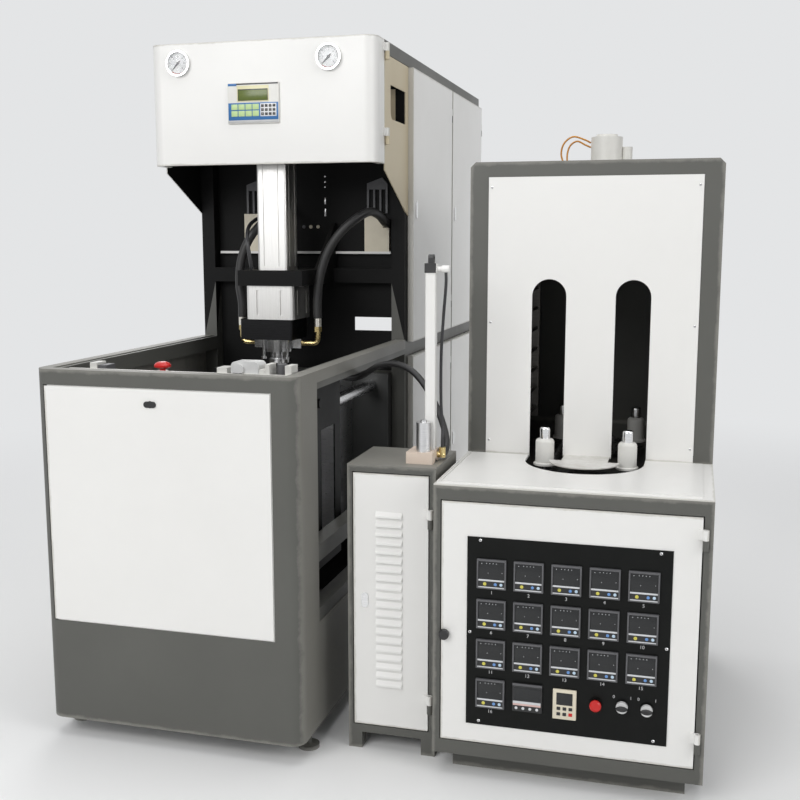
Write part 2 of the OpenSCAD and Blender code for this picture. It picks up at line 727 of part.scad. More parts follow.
// Routes of the blow hoses and of the thin line, from their fittings to the inner panel
right_hose = let (x = elbow_x[1], y = blow_y, z = cap_z + 67)
    [[x, y, z], [x, y, z + 57], [x + 9, y + 1, z + 132], [x + 37, y + 3, z + 212], [x + 78, y + 10, z + 272],
    [x + 123, y + 35, z + 315], [x + 151, y + 80, z + 335], [x + 163, y + 140, z + 325],
    [x + 165, box_l - 5, z + 303], [x + 165, box_l + 43.5, z + 303]];
left_hose = let (x = elbow_x[0], y = blow_y, z = cap_z + 67)
    [[x, y, z], [x, y, z + 47], [x - 8, y + 1, z + 107], [x - 2, y + 5, z + 182], [x + 24, y + 17, z + 252],
    [x + 62, y + 45, z + 305], [x + 80, y + 95, z + 335], [x + 80, box_l - 45, z + 347],
    [x + 80, box_l + 43.5, z + 347]];
thin_line = let (x = blow_x - 65, y = blow_y - 60, z = stretch_z + 1.5)
    [[x, y, z], [x - 4, y - 7, z + 43.5], [x - 14, y, z + 98.5], [x - 24, y + 45, z + 138.5],
    [x - 28, y + 135, z + 163.5], [x - 28, box_l - 45, z + 169.5], [x - 28, box_l + 43.5, z + 169.5]];

// Between the units: the supply hose from the moulder and the thin lines of the upright cylinder
fitting = [air_x + air_w - 7, air_setback + 110, air_h + 16];
supply_hose = let (x = moulder_w, z = box_h - 74, u = fitting[0], v = fitting[1], w = fitting[2])
    [[x - 85, box_l + 44, z + 2], [x - 85, box_l - 115, z], [x - 85, 700, z - 2], [x - 79, 610, z - 1],
    [x - 56, 560, z + 1], [x - 22, 538, z + 6], [x + 14, 522, z + 22], [x + 60, 500, z + 48],
    [x + 120, 460, w + 208], [x + 176, 428, w + 194], [u - 81, v + 138, w + 154], [u - 39, v + 106, w + 96],
    [u - 11, v + 75, w + 40], [u - 1, v + 40, w + 8], [u, v, w]];
thin_air = let (u = fitting[0], v = fitting[1], w = fitting[2])
    [[u + 7, v - 10, w + 470.5], [u + 7, v - 10, w + 437], [u, v - 4, w + 362], [u - 7, v + 2, w + 262],
    [u - 7, v + 2, w + 142], [u - 1, v - 4, w + 72], [u, v - 10, w + 42], [u, v - 10, w + 20.5]];

module air_hoses() at_moulder() color(black) {
    hose(right_hose, 28, 2, 10);
    hose(left_hose, 28, 2, 10);
    hose(thin_line, 12, 2, 8);
    hose(supply_hose, 18, 2, 10);
    hose(thin_air, 8, 1, 8);
}

// Valve blocks on the shelf behind the front rim: left side, width and height over the rim
shelf_y = 2 * tube + 6;
valves = [[108, 21, 8], [132, 24, 2], [moulder_w - 255, 28, 6], [moulder_w - 139, 16, 4],
    [moulder_w - 122, 12, 18], [moulder_w - 68, 17, 16]];
filter_at = [moulder_w - 216, box_h - 60];
switch_x = moulder_w - 84;
stop_x = 307;
stop_y = shelf_y + 27;
stop_r = 22;
stop_z = box_h - 5;

module valve_shelf() at_moulder() color(white) {
    box(sheet + tube, post_x, 2 * tube, shelf_y, box_h - 85, box_h - sheet - 4);
    for (v = valves) box(v[0], v[0] + v[1], shelf_y, shelf_y + 46, box_h - 70, box_h + v[2]);
    // Air filter with a rounded cover and its setting knob, and a pressure switch
    upright(shelf_y, 52) translate(filter_at) round_rect(76, 83, 12);
    rod_y([filter_at[0] + 23, shelf_y - 6, box_h + 4], 14, 7);
    rod_z([switch_x, shelf_y + 24, box_h - 80], 13, 98);
    box(switch_x - 13, switch_x + 13, shelf_y, shelf_y + 24, box_h - 80, box_h - 40);
    // Box of the stop button with its collar
    difference() {
        union() {
            box(stop_x - 29, stop_x + 29, shelf_y, shelf_y + 54, stop_z - 60, stop_z - 12);
            rod_z([stop_x, stop_y, stop_z - 13], 15, 8);
        }
        rod_z([stop_x, stop_y, stop_z - 55], 8 + run_gap, 60);
    }
}

module stop_button() at_moulder() color("red") {
    rod_z([stop_x, stop_y, stop_z - 45], 8, 47);
    translate([stop_x, stop_y, stop_z + 1]) rotate_extrude()
        polygon([[0, 0], [15, 0], [stop_r, 4], [stop_r, 9], [18, 14], [11, 17], [0, 18]]);
}

// Clamp

// Plate of the toggle in the y-z plane, from one eye to the other
module toggle_plate(x, a, b) {
    d = b - a;
    l = norm(d);
    translate([x, a[0], a[1]]) rotate([atan2(d[1], d[0]), 0, 0]) sideways(0, link_t) difference() {
        union() {
            circle(r = eye_r);
            translate([l, 0]) circle(r = eye_r);
            translate([0, -eye_r + 6]) square([l, 2 * eye_r - 12]);
        }
        circle(r = pin_d / 2 + run_gap);
    }
}

front_pivot = [front_pivot_y, clamp_z];
rear_pivot = [rear_pivot_y, clamp_z];
knee = [knee_y, knee_z];

// Two lugs and a fixed pin between the face of a plate and a pivot in front of it or behind it
module pivot_lugs(face, pivot, inside) {
    for (s = [-1, 1]) translate([blow_x + s * (inside + 9), 0, 0]) sideways(-8, 16) {
        translate([min(face, pivot), clamp_z - eye_r]) square([abs(pivot - face), 2 * eye_r]);
        translate([pivot, clamp_z]) circle(r = eye_r);
    }
    rod_x([blow_x - inside - 20, pivot, clamp_z], pin_d / 2, 2 * inside + 40);
}

module end_plate() at_moulder() color(dark) {
    difference() {
        box(sheet + tube, post_x, end_plate_y, end_plate_y + platen_t,
            clamp_z - platen_half_h, clamp_z + platen_half_h);
        for (x = [-tie_x, tie_x], z = [-tie_z, tie_z])
            rod_y([blow_x + x, 0, clamp_z + z], tie_d / 2 - 6 + run_gap / 3, 200);
    }
    pivot_lugs(end_plate_y + platen_t, front_pivot_y, outer_x + link_t + plate_gap / 2);
}

// Turned tie bars with a step and a nut at each end
module tie_bars() at_moulder() color(metal) for (x = [-tie_x, tie_x], z = [-tie_z, tie_z])
    translate([blow_x + x, 0, clamp_z + z]) {
        rod_y([0, end_plate_y + platen_t, 0], tie_d / 2, box_l - platen_t - end_plate_y - platen_t);
        rod_y([0, end_plate_y - 18, 0], tie_d / 2 - 6, box_l - end_plate_y + 18);
        rod_y([0, end_plate_y - 20, 0], tie_d / 2 + 6, 20);
    }

module fixed_platen() at_moulder() color(dark) difference() {
    box(sheet + tube + 1, post_x - 1, box_l - platen_t, box_l,
            clamp_z - platen_half_h, clamp_z + platen_half_h);
    for (x = [-tie_x, tie_x], z = [-tie_z, tie_z])
        rod_y([blow_x + x, box_l - platen_t - 1, clamp_z + z], tie_d / 2 - 6 + run_gap / 3, 200);
}

module moving_platen() at_moulder() color(dark) {
    difference() {
        union() {
            box(blow_x - clamp_half_w, blow_x + clamp_half_w, platen_y, platen_y + platen_t,
                clamp_z - platen_half_h, clamp_z + platen_half_h);
            for (x = [-tie_x, tie_x], z = [-tie_z, tie_z])
                rod_y([blow_x + x, platen_y - 30, clamp_z + z], tie_d / 2 + 14, 31);
            // Stiffening ribs round the pivot
            for (s = [-1, 1]) box(blow_x + s * 150 - 10, blow_x + s * 150 + 10, platen_y - 30, platen_y + 1,
                clamp_z - platen_half_h, clamp_z + platen_half_h);
        }
        for (x = [-tie_x, tie_x], z = [-tie_z, tie_z])
            rod_y([blow_x + x, platen_y - 40, clamp_z + z], tie_d / 2 + run_gap, 200);
    }
    pivot_lugs(platen_y, rear_pivot_y, inner_x + link_t + plate_gap / 2);
}

neck_r = 27;

// Turned form of the bottle, from its foot to its neck, with rolling ribs
module bottle_form() {
    r = bottle_d / 2;
    foot = mould_top - mould_h + 45;
    rib = 58;
    translate([blow_x, blow_y, 0]) rotate_extrude($fn = 96) difference() {
        union() {
            translate([0, foot]) square([r - 18, 60]);
            translate([0, foot + 18]) square([r, mould_top - 110 - foot - 18]);
            translate([r - 18, foot + 18]) circle(r = 18);
            polygon([[0, mould_top - 111], [r, mould_top - 111], [neck_r + 12, mould_top - 38],
                [0, mould_top - 38]]);
            translate([0, mould_top - 39]) square([neck_r, 60]);
        }
        for (i = [0 : 4]) translate([r + 4, foot + 70 + rib * i]) circle(r = 10);
    }
}

module mould_half(y) {
    difference() {
        box(blow_x - mould_w / 2, blow_x + mould_w / 2, y, y + mould_l, mould_top - mould_h, mould_top);
        bottle_form();
    }
}

module rear_mould() at_moulder() color(metal) mould_half(blow_y);

module front_mould() at_moulder() color(metal) translate([0, -clamp_stroke, 0]) mould_half(blow_y - mould_l);

module front_link() at_moulder() color(dark) {
    for (s = [-1, 1])
        toggle_plate(blow_x + s * (outer_x + link_t / 2) - link_t / 2, front_pivot, knee);
    // Knee bosses on the outer faces, and the bar that joins the two plates
    for (x = [-outer_x - link_t - 4, outer_x]) rod_x([blow_x + x, knee[0], knee[1]], eye_r - 7, link_t + 4);
    at = front_pivot + 0.36 * (knee - front_pivot);
    rod_x([blow_x - outer_x - 1, at[0], at[1]], 11, 2 * outer_x + 2);
}

module rear_link() at_moulder() color(metal) {
    for (s = [-1, 1])
        toggle_plate(blow_x + s * (inner_x + link_t / 2) - link_t / 2, rear_pivot, knee);
    at = rear_pivot + 0.4 * (knee - rear_pivot);
    rod_x([blow_x - inner_x - 1, at[0], at[1]], 11, 2 * inner_x + 2);
}

module along_barrel() {
    translate([blow_x, barrel_y, barrel_z]) rotate([barrel_angle, 0, 0]) children();
}

barrel_l = barrel_reach - 26;

module clamp_barrel() at_moulder() color(metal) along_barrel() difference() {
    union() {
        rod_z([0, 0, 34], clamp_barrel_d / 2, barrel_l - 34);
        rod_x([-rod_eye_t / 2, 0, 0], 22, rod_eye_t);
        box(-rod_eye_t / 2, rod_eye_t / 2, -20, 20, 0, 36);
        for (z = [30, barrel_l - 24])
            translate([-clamp_barrel_d / 2 - 2, -clamp_barrel_d / 2 - 2, z])
                linear_extrude(24) round_rect(clamp_barrel_d + 4, clamp_barrel_d + 4, 9);
    }
    rod_x([-50, 0, 0], pin_d / 2 + run_gap, 100);
    rod_z([0, 0, 44], clamp_barrel_d / 2 - 7, barrel_l - 68);
    rod_z([0, 0, 60], 12 + run_gap, barrel_l);
}

module clamp_rod() at_moulder() color(metal) along_barrel() {
    rod_z([0, 0, 48], 12, barrel_reach - 60);
    rod_z([0, 0, 47], clamp_barrel_d / 2 - 7 - run_gap, 12);
    rod_x([-rod_eye_t / 2, 0, barrel_reach], 24, rod_eye_t);
    box(-rod_eye_t / 2, rod_eye_t / 2, -15, 15, barrel_reach - 23, barrel_reach - 10);
}

// Air cabinet

air_door_x = [16, air_w - 19];
air_door_z = [69, air_h - 22];
air_leg = 37;
air_rail_z = 45;
air_lock = [47, 412];
air_hinge = [air_door_x[1] + 7, -hinge_r - 0.5];
air_hinge_z = [air_door_z[0] + 76, air_door_z[1] - 110];

module air_cabinet() at_air() color(dark) {
    difference() {
        box(0, air_w, 0, air_l, 0, air_h);
        box(sheet, air_w - sheet, door_t + 4, air_l - sheet, air_rail_z + sheet, air_h - sheet);
        box(air_door_x[0] - door_gap, air_door_x[1] + door_gap, -1, door_t + 5,
            air_door_z[0] - door_gap, air_door_z[1] + door_gap);
        box(air_leg, air_w - air_leg, -1, air_l + 1, -1, air_rail_z);
        box(-1, air_w + 1, air_leg, air_l - air_leg, -1, air_rail_z);
    }
    for (z = air_hinge_z) {
        hinge_pin(air_hinge, z);
        box(air_door_x[1] + door_gap + 0.5, air_door_x[1] + door_gap + 10, -6, 0, z - 24, z);
    }
}

// Pressed louvre: a thin lip that stands out over an open slit
louvre_w = 70;
louvre_x = 77;
louvre_at = [for (i = [0 : louvres - 1]) air_door_z[0] + 111 + i * louvre_pitch];

module louvre_lip() {
    difference() {
        sideways(0, louvre_w) polygon([[0, 0], [-7, 0], [-6, 5], [0, 15]]);
        sideways(2, louvre_w - 4) polygon([[1, -1], [-5.4, -1], [-4.6, 4], [1, 13]]);
    }
}

// Leaf of a front door's hinge, from the door's edge x to the knuckle at h
module front_leaf(x, h, z) {
    box(x - 10, x, -7, 0.5, z, z + 24);
    box(x - 1, h - 3, -7, -0.5, z, z + 24);
}

module louvred_door() at_air() color(white) {
    difference() {
        union() {
            difference() {
                box(air_door_x[0], air_door_x[1], 0, door_t, air_door_z[0], air_door_z[1]);
                box(air_door_x[0] + 2, air_door_x[1] - 2, 2, door_t + 1,
                    air_door_z[0] + 2, air_door_z[1] - 2);
            }
            for (z = air_hinge_z) {
                knuckle(air_hinge, z + 0.5, 24);
                front_leaf(air_door_x[1], air_hinge[0], z + 0.5);
            }
        }
        for (z = louvre_at) box(louvre_x + 2, louvre_x + louvre_w - 2, -1, 3, z, z + 12);
        rod_y([air_lock[0], -1, air_lock[1]], 7 + run_gap, 5);
        for (z = air_hinge_z) rod_z([air_hinge[0], air_hinge[1], z], 3 + run_gap, 30);
    }
    for (z = louvre_at) translate([louvre_x, 0, z]) louvre_lip();
}

module cabinet_lock() at_air() color("darkslategray") {
    upright(-3, 3) translate([air_lock[0] - 9, air_lock[1] - 20]) round_rect(18, 40, 8.9);
    rod_y([air_lock[0], -0.5, air_lock[1]], 7, 28);
    box(air_lock[0] - 7, air_lock[0] + 7, 26, 29, air_lock[1] - 40, air_lock[1] + 7);
}

// Left front corner, width and length of the block, and the middle of the upright cylinder on it
base_at = [air_w - 89, 41];
base_block = [69, 84, 30];
base_top = air_h + base_block[2];
upright_at = [base_at[0] + 51, base_at[1] + 59.5];
upright_w = 27;
upright_top = base_top + 456;
eye_z = upright_top + 38;

module cylinder_base() at_air() color(metal) {
    difference() {
        translate([base_at[0], base_at[1], air_h]) cube(base_block);
        sideways(base_at[0] - 1, base_block[0] + 2) translate([base_at[1] + 42, air_h])
            polygon([[-13, -1], [13, -1], [0, 12]]);
    }
    rod_z([base_at[0] + 41, base_at[1] + 23, base_top], 19, 76);
    rod_z([base_at[0] + 41, base_at[1] + 23, base_top + 76], 8, 6);
    // Elbow fittings at the right
    rod_x([base_at[0] + base_block[0], base_at[1] + 59, air_h + 16], 8, 20);
    rod_z([base_at[0] + base_block[0] + 13, base_at[1] + 59, air_h + 10], 9, 26);
}

module upright_cylinder() at_air() color(white) translate([upright_at[0], upright_at[1], 0]) {
    translate([-upright_w / 2, -upright_w / 2, base_top]) linear_extrude(upright_top - base_top)
        round_rect(upright_w, upright_w, 4);
    translate([-upright_w / 2 - 2, -upright_w / 2 - 2, upright_top]) linear_extrude(24)
        round_rect(upright_w + 4, upright_w + 4, 4);
    // Clevis eye on the end cap and the side fitting
    difference() {
        union() {
            box(-7, 7, -8.5, 8.5, upright_top + 23, eye_z);
            rod_x([-7, 0, eye_z], 8.5, 14);
        }
        rod_x([-20, 0, eye_z], 4, 40);
    }
    rod_x([upright_w / 2 + 1.5, -0.5, upright_top + 10], 6, 14);
    rod_x([upright_w / 2 + 15.5, -0.5, upright_top + 10], 9, 18);
}

// Heater

heater_door_x = [21, heater_w - 24];
heater_door_z = [98, deck_z - 41];
heater_hinge = [heater_door_x[1] + 7, -hinge_r - 0.5];
heater_hinge_z = [heater_door_z[0] + 67, heater_door_z[1] - 52];
panel_in_x = [86, heater_w - 87];
panel_in_z = [147, deck_z - 125];
knob = [30, heater_door_z[0] + 277];
axis_x = heater_w / 2;
pit_r = lane_r + 46;
cap_r = lane_r - 18;

module heater_cabinet() at_heater() color(dark) {
    difference() {
        box(0, heater_w, 0, heater_l, heater_foot, deck_z - sheet);
        box(sheet, heater_w - sheet, door_t + 4, heater_l - sheet, heater_foot + sheet, deck_z + 1);
        box(heater_door_x[0] - door_gap, heater_door_x[1] + door_gap, -1, door_t + 5,
            heater_door_z[0] - door_gap, heater_door_z[1] + door_gap);
    }
    // Set-in plinth
    box(40, heater_w - 40, 60, heater_l - 60, 0, heater_foot);
    // Bearers and the bed of the preform lane
    for (y = [wheel_y - 180, wheel_y + run_l - 140])
        box(sheet - 1, heater_w - sheet + 1, y - 20, y + 20, bed_z - 40, bed_z);
    difference() {
        box(60, heater_w - 60, 130, heater_l - 30, bed_z, bed_z + bed_t);
        for (y = [wheel_y, wheel_y + run_l]) rod_z([axis_x, y, bed_z - 1], 18, 10);
    }
    for (z = heater_hinge_z) {
        hinge_pin(heater_hinge, z);
        box(heater_door_x[1] + door_gap + 0.5, heater_door_x[1] + door_gap + 10, -6, 0, z - 24, z);
    }
}

module heater_door() at_heater() color(white) difference() {
    union() {
        difference() {
            box(heater_door_x[0], heater_door_x[1], 0, door_t, heater_door_z[0], heater_door_z[1]);
            box(heater_door_x[0] + 2, heater_door_x[1] - 2, 2, door_t + 1,
                heater_door_z[0] + 2, heater_door_z[1] - 2);
        }
        for (z = heater_hinge_z) {
            knuckle(heater_hinge, z + 0.5, 24);
            front_leaf(heater_door_x[1], heater_hinge[0], z + 0.5);
        }
    }
    rod_y([knob[0], -1, knob[1]], 5 + run_gap, 5);
    box(panel_in_x[0] + 12, panel_in_x[1] - 12, -1, 3, panel_in_z[0] + 12, panel_in_z[1] - 12);
    for (z = heater_hinge_z) rod_z([heater_hinge[0], heater_hinge[1], z], 3 + run_gap, 30);
}

// Upper left corners of the regulators: three full rows, and one more at the left of the last
regulator_h = 74;
reg_at = [for (k = [0 : 3], i = [0 : k < 3 ? 4 : 0])
    [panel_in_x[0] + 25 + 90.5 * i, panel_in_z[1] - 53 - 102 * k]];
timer_at = [panel_in_x[0] + 117, panel_in_z[0] + 49];
timer_size = [73, 72];
keypad_at = [panel_in_x[0] + 216, panel_in_z[0] + 41];
keypad_size = [57, 76];
button_c = [panel_in_x[0] + 319, panel_in_z[0] + 88];
selector_c = [[panel_in_x[0] + 381, panel_in_z[0] + 90], [panel_in_x[0] + 439, panel_in_z[0] + 89]];
panel_t = 2;

module control_panel() at_heater() color(black) difference() {
    union() {
        box(panel_in_x[0], panel_in_x[1], -panel_t, 0, panel_in_z[0], panel_in_z[1]);
        // Collars of the button and the two selectors
        for (c = concat([button_c], selector_c)) rod_y([c[0], -panel_t - 5, c[1]], 15, 5);
    }
    for (c = concat([button_c], selector_c)) rod_y([c[0], -20, c[1]], 11 + run_gap, 30);
    for (r = reg_at) cut_out([r[0], r[1] - regulator_h], [regulator_w, regulator_h], 4);
    cut_out(timer_at, timer_size, 4);
    cut_out(keypad_at, keypad_size, 4);
}

// Hole in the panel for an instrument from its lower left corner, smaller by a rim all round
module cut_out(at, size, rim) {
    box(at[0] + rim, at[0] + size[0] - rim, -5, 1, at[1] + rim, at[1] + size[1] - rim);
}

// One instrument from its lower left corner: a bezel with a recessed window, and the body behind the panel
module instrument(at, size, bezel, depth, window) {
    translate([at[0], 0, at[1]]) {
        difference() {
            upright(-panel_t - bezel, bezel) round_rect(size[0], size[1], 3);
            box(7, size[0] - 7, -panel_t - bezel - 1, -panel_t - 4, window[0], window[1]);
        }
        box(5, size[0] - 5, -panel_t, depth, 5, size[1] - 5);
    }
}

module regulators() at_heater() color(dark) {
    for (r = reg_at) {
        instrument([r[0], r[1] - regulator_h], [regulator_w, regulator_h], 8, 60, [30, 62]);
        for (i = [0 : 3])
            translate([r[0] + 9 + 14 * i, -panel_t - 10, r[1] - regulator_h + 5]) cube([10, 2.5, 7]);
    }
    instrument(timer_at, timer_size, 7, 55, [30, 62]);
    instrument(keypad_at, keypad_size, 7, 40, [40, 69]);
    for (i = [0 : 2], k = [0 : 1])
        translate([keypad_at[0] + 10 + 14.5 * i, -panel_t - 9, keypad_at[1] + 10 + 14 * k]) cube([9, 2.5, 8]);
}

module door_knob() at_heater() color(black) translate([knob[0], 0, knob[1]]) {
    rotate([90, 0, 0]) rotate_extrude()
        polygon([[0, 0.3], [9, 0.3], [13, 5], [13, 14], [11, 17], [0, 17.5]]);
    rod_y([0, -1, 0], 5, 28);
    box(-6, 6, 26, 29, -26, 7);
}

module push_button() at_heater() color("red") {
    translate([button_c[0], -panel_t - 8.5, button_c[1]]) rotate([90, 0, 0]) rotate_extrude()
        polygon([[0, 0], [13, 0], [14, 2], [14, 8], [11, 11], [0, 12]]);
    rod_y([button_c[0], -panel_t - 9, button_c[1]], 11, 33);
}

// Selector: a round disc with a raised lens-shaped handle bar
module selector(c) {
    rod_y([c[0], -panel_t - 14, c[1]], 14, 8.7);
    rod_y([c[0], -panel_t - 6, c[1]], 11, 30);
    upright(-panel_t - 24, 11) translate(c) intersection() {
        translate([0, -17]) circle(r = 22);
        translate([0, 17]) circle(r = 22);
    }
}

module left_selector() at_heater() color("lightgray") selector(selector_c[0]);

module right_selector() at_heater() color("lightgray") selector(selector_c[1]);

deck_x = [16, heater_w - 26];
deck_y = [21, hood_y - 13];

// Deck: the grey cover sheet and the white plate on it, both cut away round the front wheel
module deck_plate() at_heater() color(white) difference() {
    union() {
        box(0, heater_w, 0, hood_y, deck_z - sheet, deck_z);
        box(deck_x[0], deck_x[1], deck_y[0], deck_y[1], deck_z, deck_z + 3);
        for (x = [4, 9]) box(x, x + 3, deck_y[0], deck_y[1], deck_z, deck_z + 4);
    }
    rod_z([axis_x, wheel_y, deck_z - 10], pit_r, 20);
    box(axis_x - pit_r, axis_x + pit_r, wheel_y, hood_y + 1, deck_z - 10, deck_z + 10);
}

hood_in = 50;

module hood() at_heater() color(dark) {
    difference() {
        upright(hood_y, heater_l - hood_y)
            polygon([[0, deck_z - sheet], [heater_w, deck_z - sheet], [heater_w, hood_z - 14],
                [heater_w - 14, hood_z], [14, hood_z], [0, hood_z - 14]]);
        box(sheet, heater_w - sheet, hood_y + sheet, heater_l - sheet, deck_z - 20, hood_z - 17);
        box(hood_in, heater_w - hood_in, hood_y - 1, hood_y + sheet + 1, deck_z - 20, hood_z - 40);
        rod_z([axis_x - 100, hood_y + 260, hood_z - 30], 14, 40);
    }
}

slot_x = [axis_x - lane_r - 1, axis_x + lane_r + 1];

module hood_panel() at_heater() color(white) {
    difference() {
        box(hood_in + 1, heater_w - hood_in - 1, hood_y - 3, hood_y, deck_z + 0.5, hood_z - 40.5);
        for (x = slot_x) {
            box(x - slot_w / 2, x + slot_w / 2, hood_y - 5, hood_y + 5, deck_z - 10, slot_top - slot_w / 2);
            rod_y([x, hood_y - 5, slot_top - slot_w / 2], slot_w / 2, 10);
        }
    }
    // Lapped edge behind the hood's opening
    difference() {
        box(hood_in - 14, heater_w - hood_in + 14, hood_y + sheet + 0.3, hood_y + sheet + 2,
            deck_z + 20, hood_z - 28);
        box(hood_in + 3, heater_w - hood_in - 3, hood_y, hood_y + 10, deck_z + 10, hood_z - 43);
    }
    difference() {
        box(hood_in + 1, heater_w - hood_in - 1, hood_y, hood_y + sheet + 1, deck_z + 20, hood_z - 40.5);
        box(hood_in + 3, heater_w - hood_in - 3, hood_y - 1, hood_y + 10, deck_z + 10, hood_z - 43);
    }
    // Cap over the front wheel, a round-nosed shelf between the slots
    intersection() {
        rod_z([axis_x, wheel_y, deck_z + 1], cap_r, 3);
        box(axis_x - cap_r, axis_x + cap_r, wheel_y - cap_r - 1, wheel_y, 0, 2000);
    }
    nose = lane_r - slot_w / 2 - 3;
    box(axis_x - nose, axis_x + nose, wheel_y - 1, hood_y - 2, deck_z + 1, deck_z + 4);
}

// Upright reflector plates with their lamps, which stand on the bed outside both lanes
lamp_x = lane_r + 95;
lamp_y = [hood_y + 40, hood_y + 450];
lamp_top = slot_top + 74;
lamp_pitch = 62;
lamps = 8;
bed_t = 8;

module lamp_rack() at_heater() color("lightgray") translate([axis_x, 0, 0])
    for (side = [0, 1]) mirror([side, 0, 0]) {
        box(lamp_x + 18.5, lamp_x + 21.5, lamp_y[0], lamp_y[1], bed_z + bed_t, lamp_top);
        for (y = [lamp_y[0], lamp_y[1] - 16])
            box(lamp_x - 9, lamp_x + 18.5, y, y + 16, deck_z + 37, lamp_top - 20);
        for (i = [0 : lamps - 1])
            rod_y([lamp_x, lamp_y[0] + 16, deck_z + 67 + lamp_pitch * i], 5.5, lamp_y[1] - lamp_y[0] - 32);
    }

// Pitch point number i round the lane, counted from the front tangent point on the right
function lane_point(i) =
    let (n = wheel_teeth / 2, k = i % (2 * run_links + 2 * n))
    k < run_links ? [lane_r, wheel_y + chain_pitch * k, 90] :
    k < run_links + n ? let (a = (k - run_links) * 180 / n)
        [lane_r * cos(a), wheel_y + run_l + lane_r * sin(a), 90 + a] :
    k < 2 * run_links + n ? [-lane_r, wheel_y + run_l - chain_pitch * (k - run_links - n), 270] :
    let (a = 180 + (k - 2 * run_links - n) * 180 / n) [lane_r * cos(a), wheel_y + lane_r * sin(a), 90 + a];

chain_links = 2 * run_links + wheel_teeth;

module link_outline(i, r) {
    a = lane_point(i);
    b = lane_point(i + 1);
    d = [b[0] - a[0], b[1] - a[1]];
    translate([axis_x + a[0], a[1]]) rotate(atan2(d[1], d[0])) {
        circle(r = r, $fn = 12);
        translate([norm(d), 0]) circle(r = r, $fn = 12);
        translate([0, -r + 2.5]) square([norm(d), 2 * r - 5]);
    }
}

module chain() at_heater() color("dimgray") {
    // Outer plates below and above the rollers on every second link, inner plates on the others
    for (i = [0 : 2 : chain_links - 1], z = [chain_z - 6, chain_z + 15])
        translate([0, 0, z]) linear_extrude(3) link_outline(i, 11);
    for (i = [1 : 2 : chain_links - 1], z = [chain_z - 3, chain_z + 12])
        translate([0, 0, z]) linear_extrude(3) link_outline(i, 10);
    for (i = [0 : chain_links - 1]) rod_z([axis_x + lane_point(i)[0], lane_point(i)[1], chain_z - 8], 6, 28);
    // Carrier plates and pivot pins of the mandrels
    for (i = mandrel_at) translate([axis_x + lane_point(i)[0], lane_point(i)[1], 0]) {
        rod_z([0, 0, chain_z + 18], 24, 5);
        rod_z([0, 0, chain_z + 20], 7, 34);
    }
}

// Mandrels stand one link in from both ends of each straight run
mandrel_at = [1, run_links - 1, run_links + wheel_teeth / 2 + 1, 2 * run_links + wheel_teeth / 2 - 1];

module chain_wheel(y) {
    translate([axis_x, y, 0]) {
        difference() {
            translate([0, 0, chain_z + 1]) linear_extrude(10) wheel_outline();
            for (a = [0 : 60 : 300]) rotate([0, 0, a]) rod_z([65, 0, chain_z - 5], 16, 30);
        }
        rod_z([0, 0, chain_z - 8], 30, 30);
        rod_z([0, 0, bed_z - 20], 14, 60);
        rod_z([0, 0, bed_z - 24], 42, 24);
    }
}

// Toothed rim: each tooth stands between two chain pins, from its root up to its narrow tip
module wheel_outline() {
    half = 180 / wheel_teeth;
    root = lane_r - 6.3;
    polygon([for (i = [0 : wheel_teeth - 1], c = [[-0.62, root], [-0.3, lane_r - 2], [-0.12, lane_r + 3],
        [0.12, lane_r + 3], [0.3, lane_r - 2], [0.62, root]])
        let (a = (2 * i + 1 + c[0]) * half) c[1] * [cos(a), sin(a)]]);
}

module chain_wheels() at_heater() color(metal) {
    chain_wheel(wheel_y);
    chain_wheel(wheel_y + run_l);
    // Gear motor under the front wheel
    box(axis_x - 45, axis_x + 45, wheel_y - 45, wheel_y + 60, bed_z - 84, bed_z - 23);
    rod_y([axis_x, wheel_y + 60, bed_z - 54], 38, 130);
}

// Preform mandrel: base disc, white body and bright core
module mandrel(i) {
    p = lane_point(mandrel_at[i]);
    at_heater() translate([axis_x + p[0], p[1], chain_z + 35]) color(white) difference() {
        union() {
            cylinder(r = 30, h = 7);
            translate([0, 0, 7]) cylinder(r = mandrel_d / 2, h = 66);
            translate([0, 0, 72]) cylinder(r = 14, h = 29);
            translate([0, 0, 101]) cylinder(r1 = 14, r2 = 10, h = 4, $fn = 48);
        }
        translate([0, 0, -1]) cylinder(r = 7 + run_gap, h = 24);
    }
}

module mandrel_1() mandrel(0);

module mandrel_2() mandrel(1);

module mandrel_3() mandrel(2);

module mandrel_4() mandrel(3);

motor_y = hood_y + 255;

module hood_motor() at_heater() color(white) {
    rod_z([axis_x + 10, motor_y, hood_z], 44, 80);
    rod_z([axis_x + 10, motor_y, hood_z + 80], 30, 7);
    rod_z([axis_x + 67, motor_y, hood_z], 14.5, 52);
}

lead_route = [[232, 673, 1515], [230, 673, 1548], [228, 673, 1580], [236, 672, 1606], [256, 670, 1618],
    [278, 669, 1608], [294.9, 668, 1600]];
second_route = [[226, 670, 1515], [221, 668, 1550], [212, 664, 1582], [220, 660, 1612], [246, 658, 1630],
    [280, 660, 1620], [295.2, 661, 1612]];

module motor_leads() at_heater() color("orange") {
    hose(lead_route, 5, 2, 8);
    hose(second_route, 5, 2, 8);
}

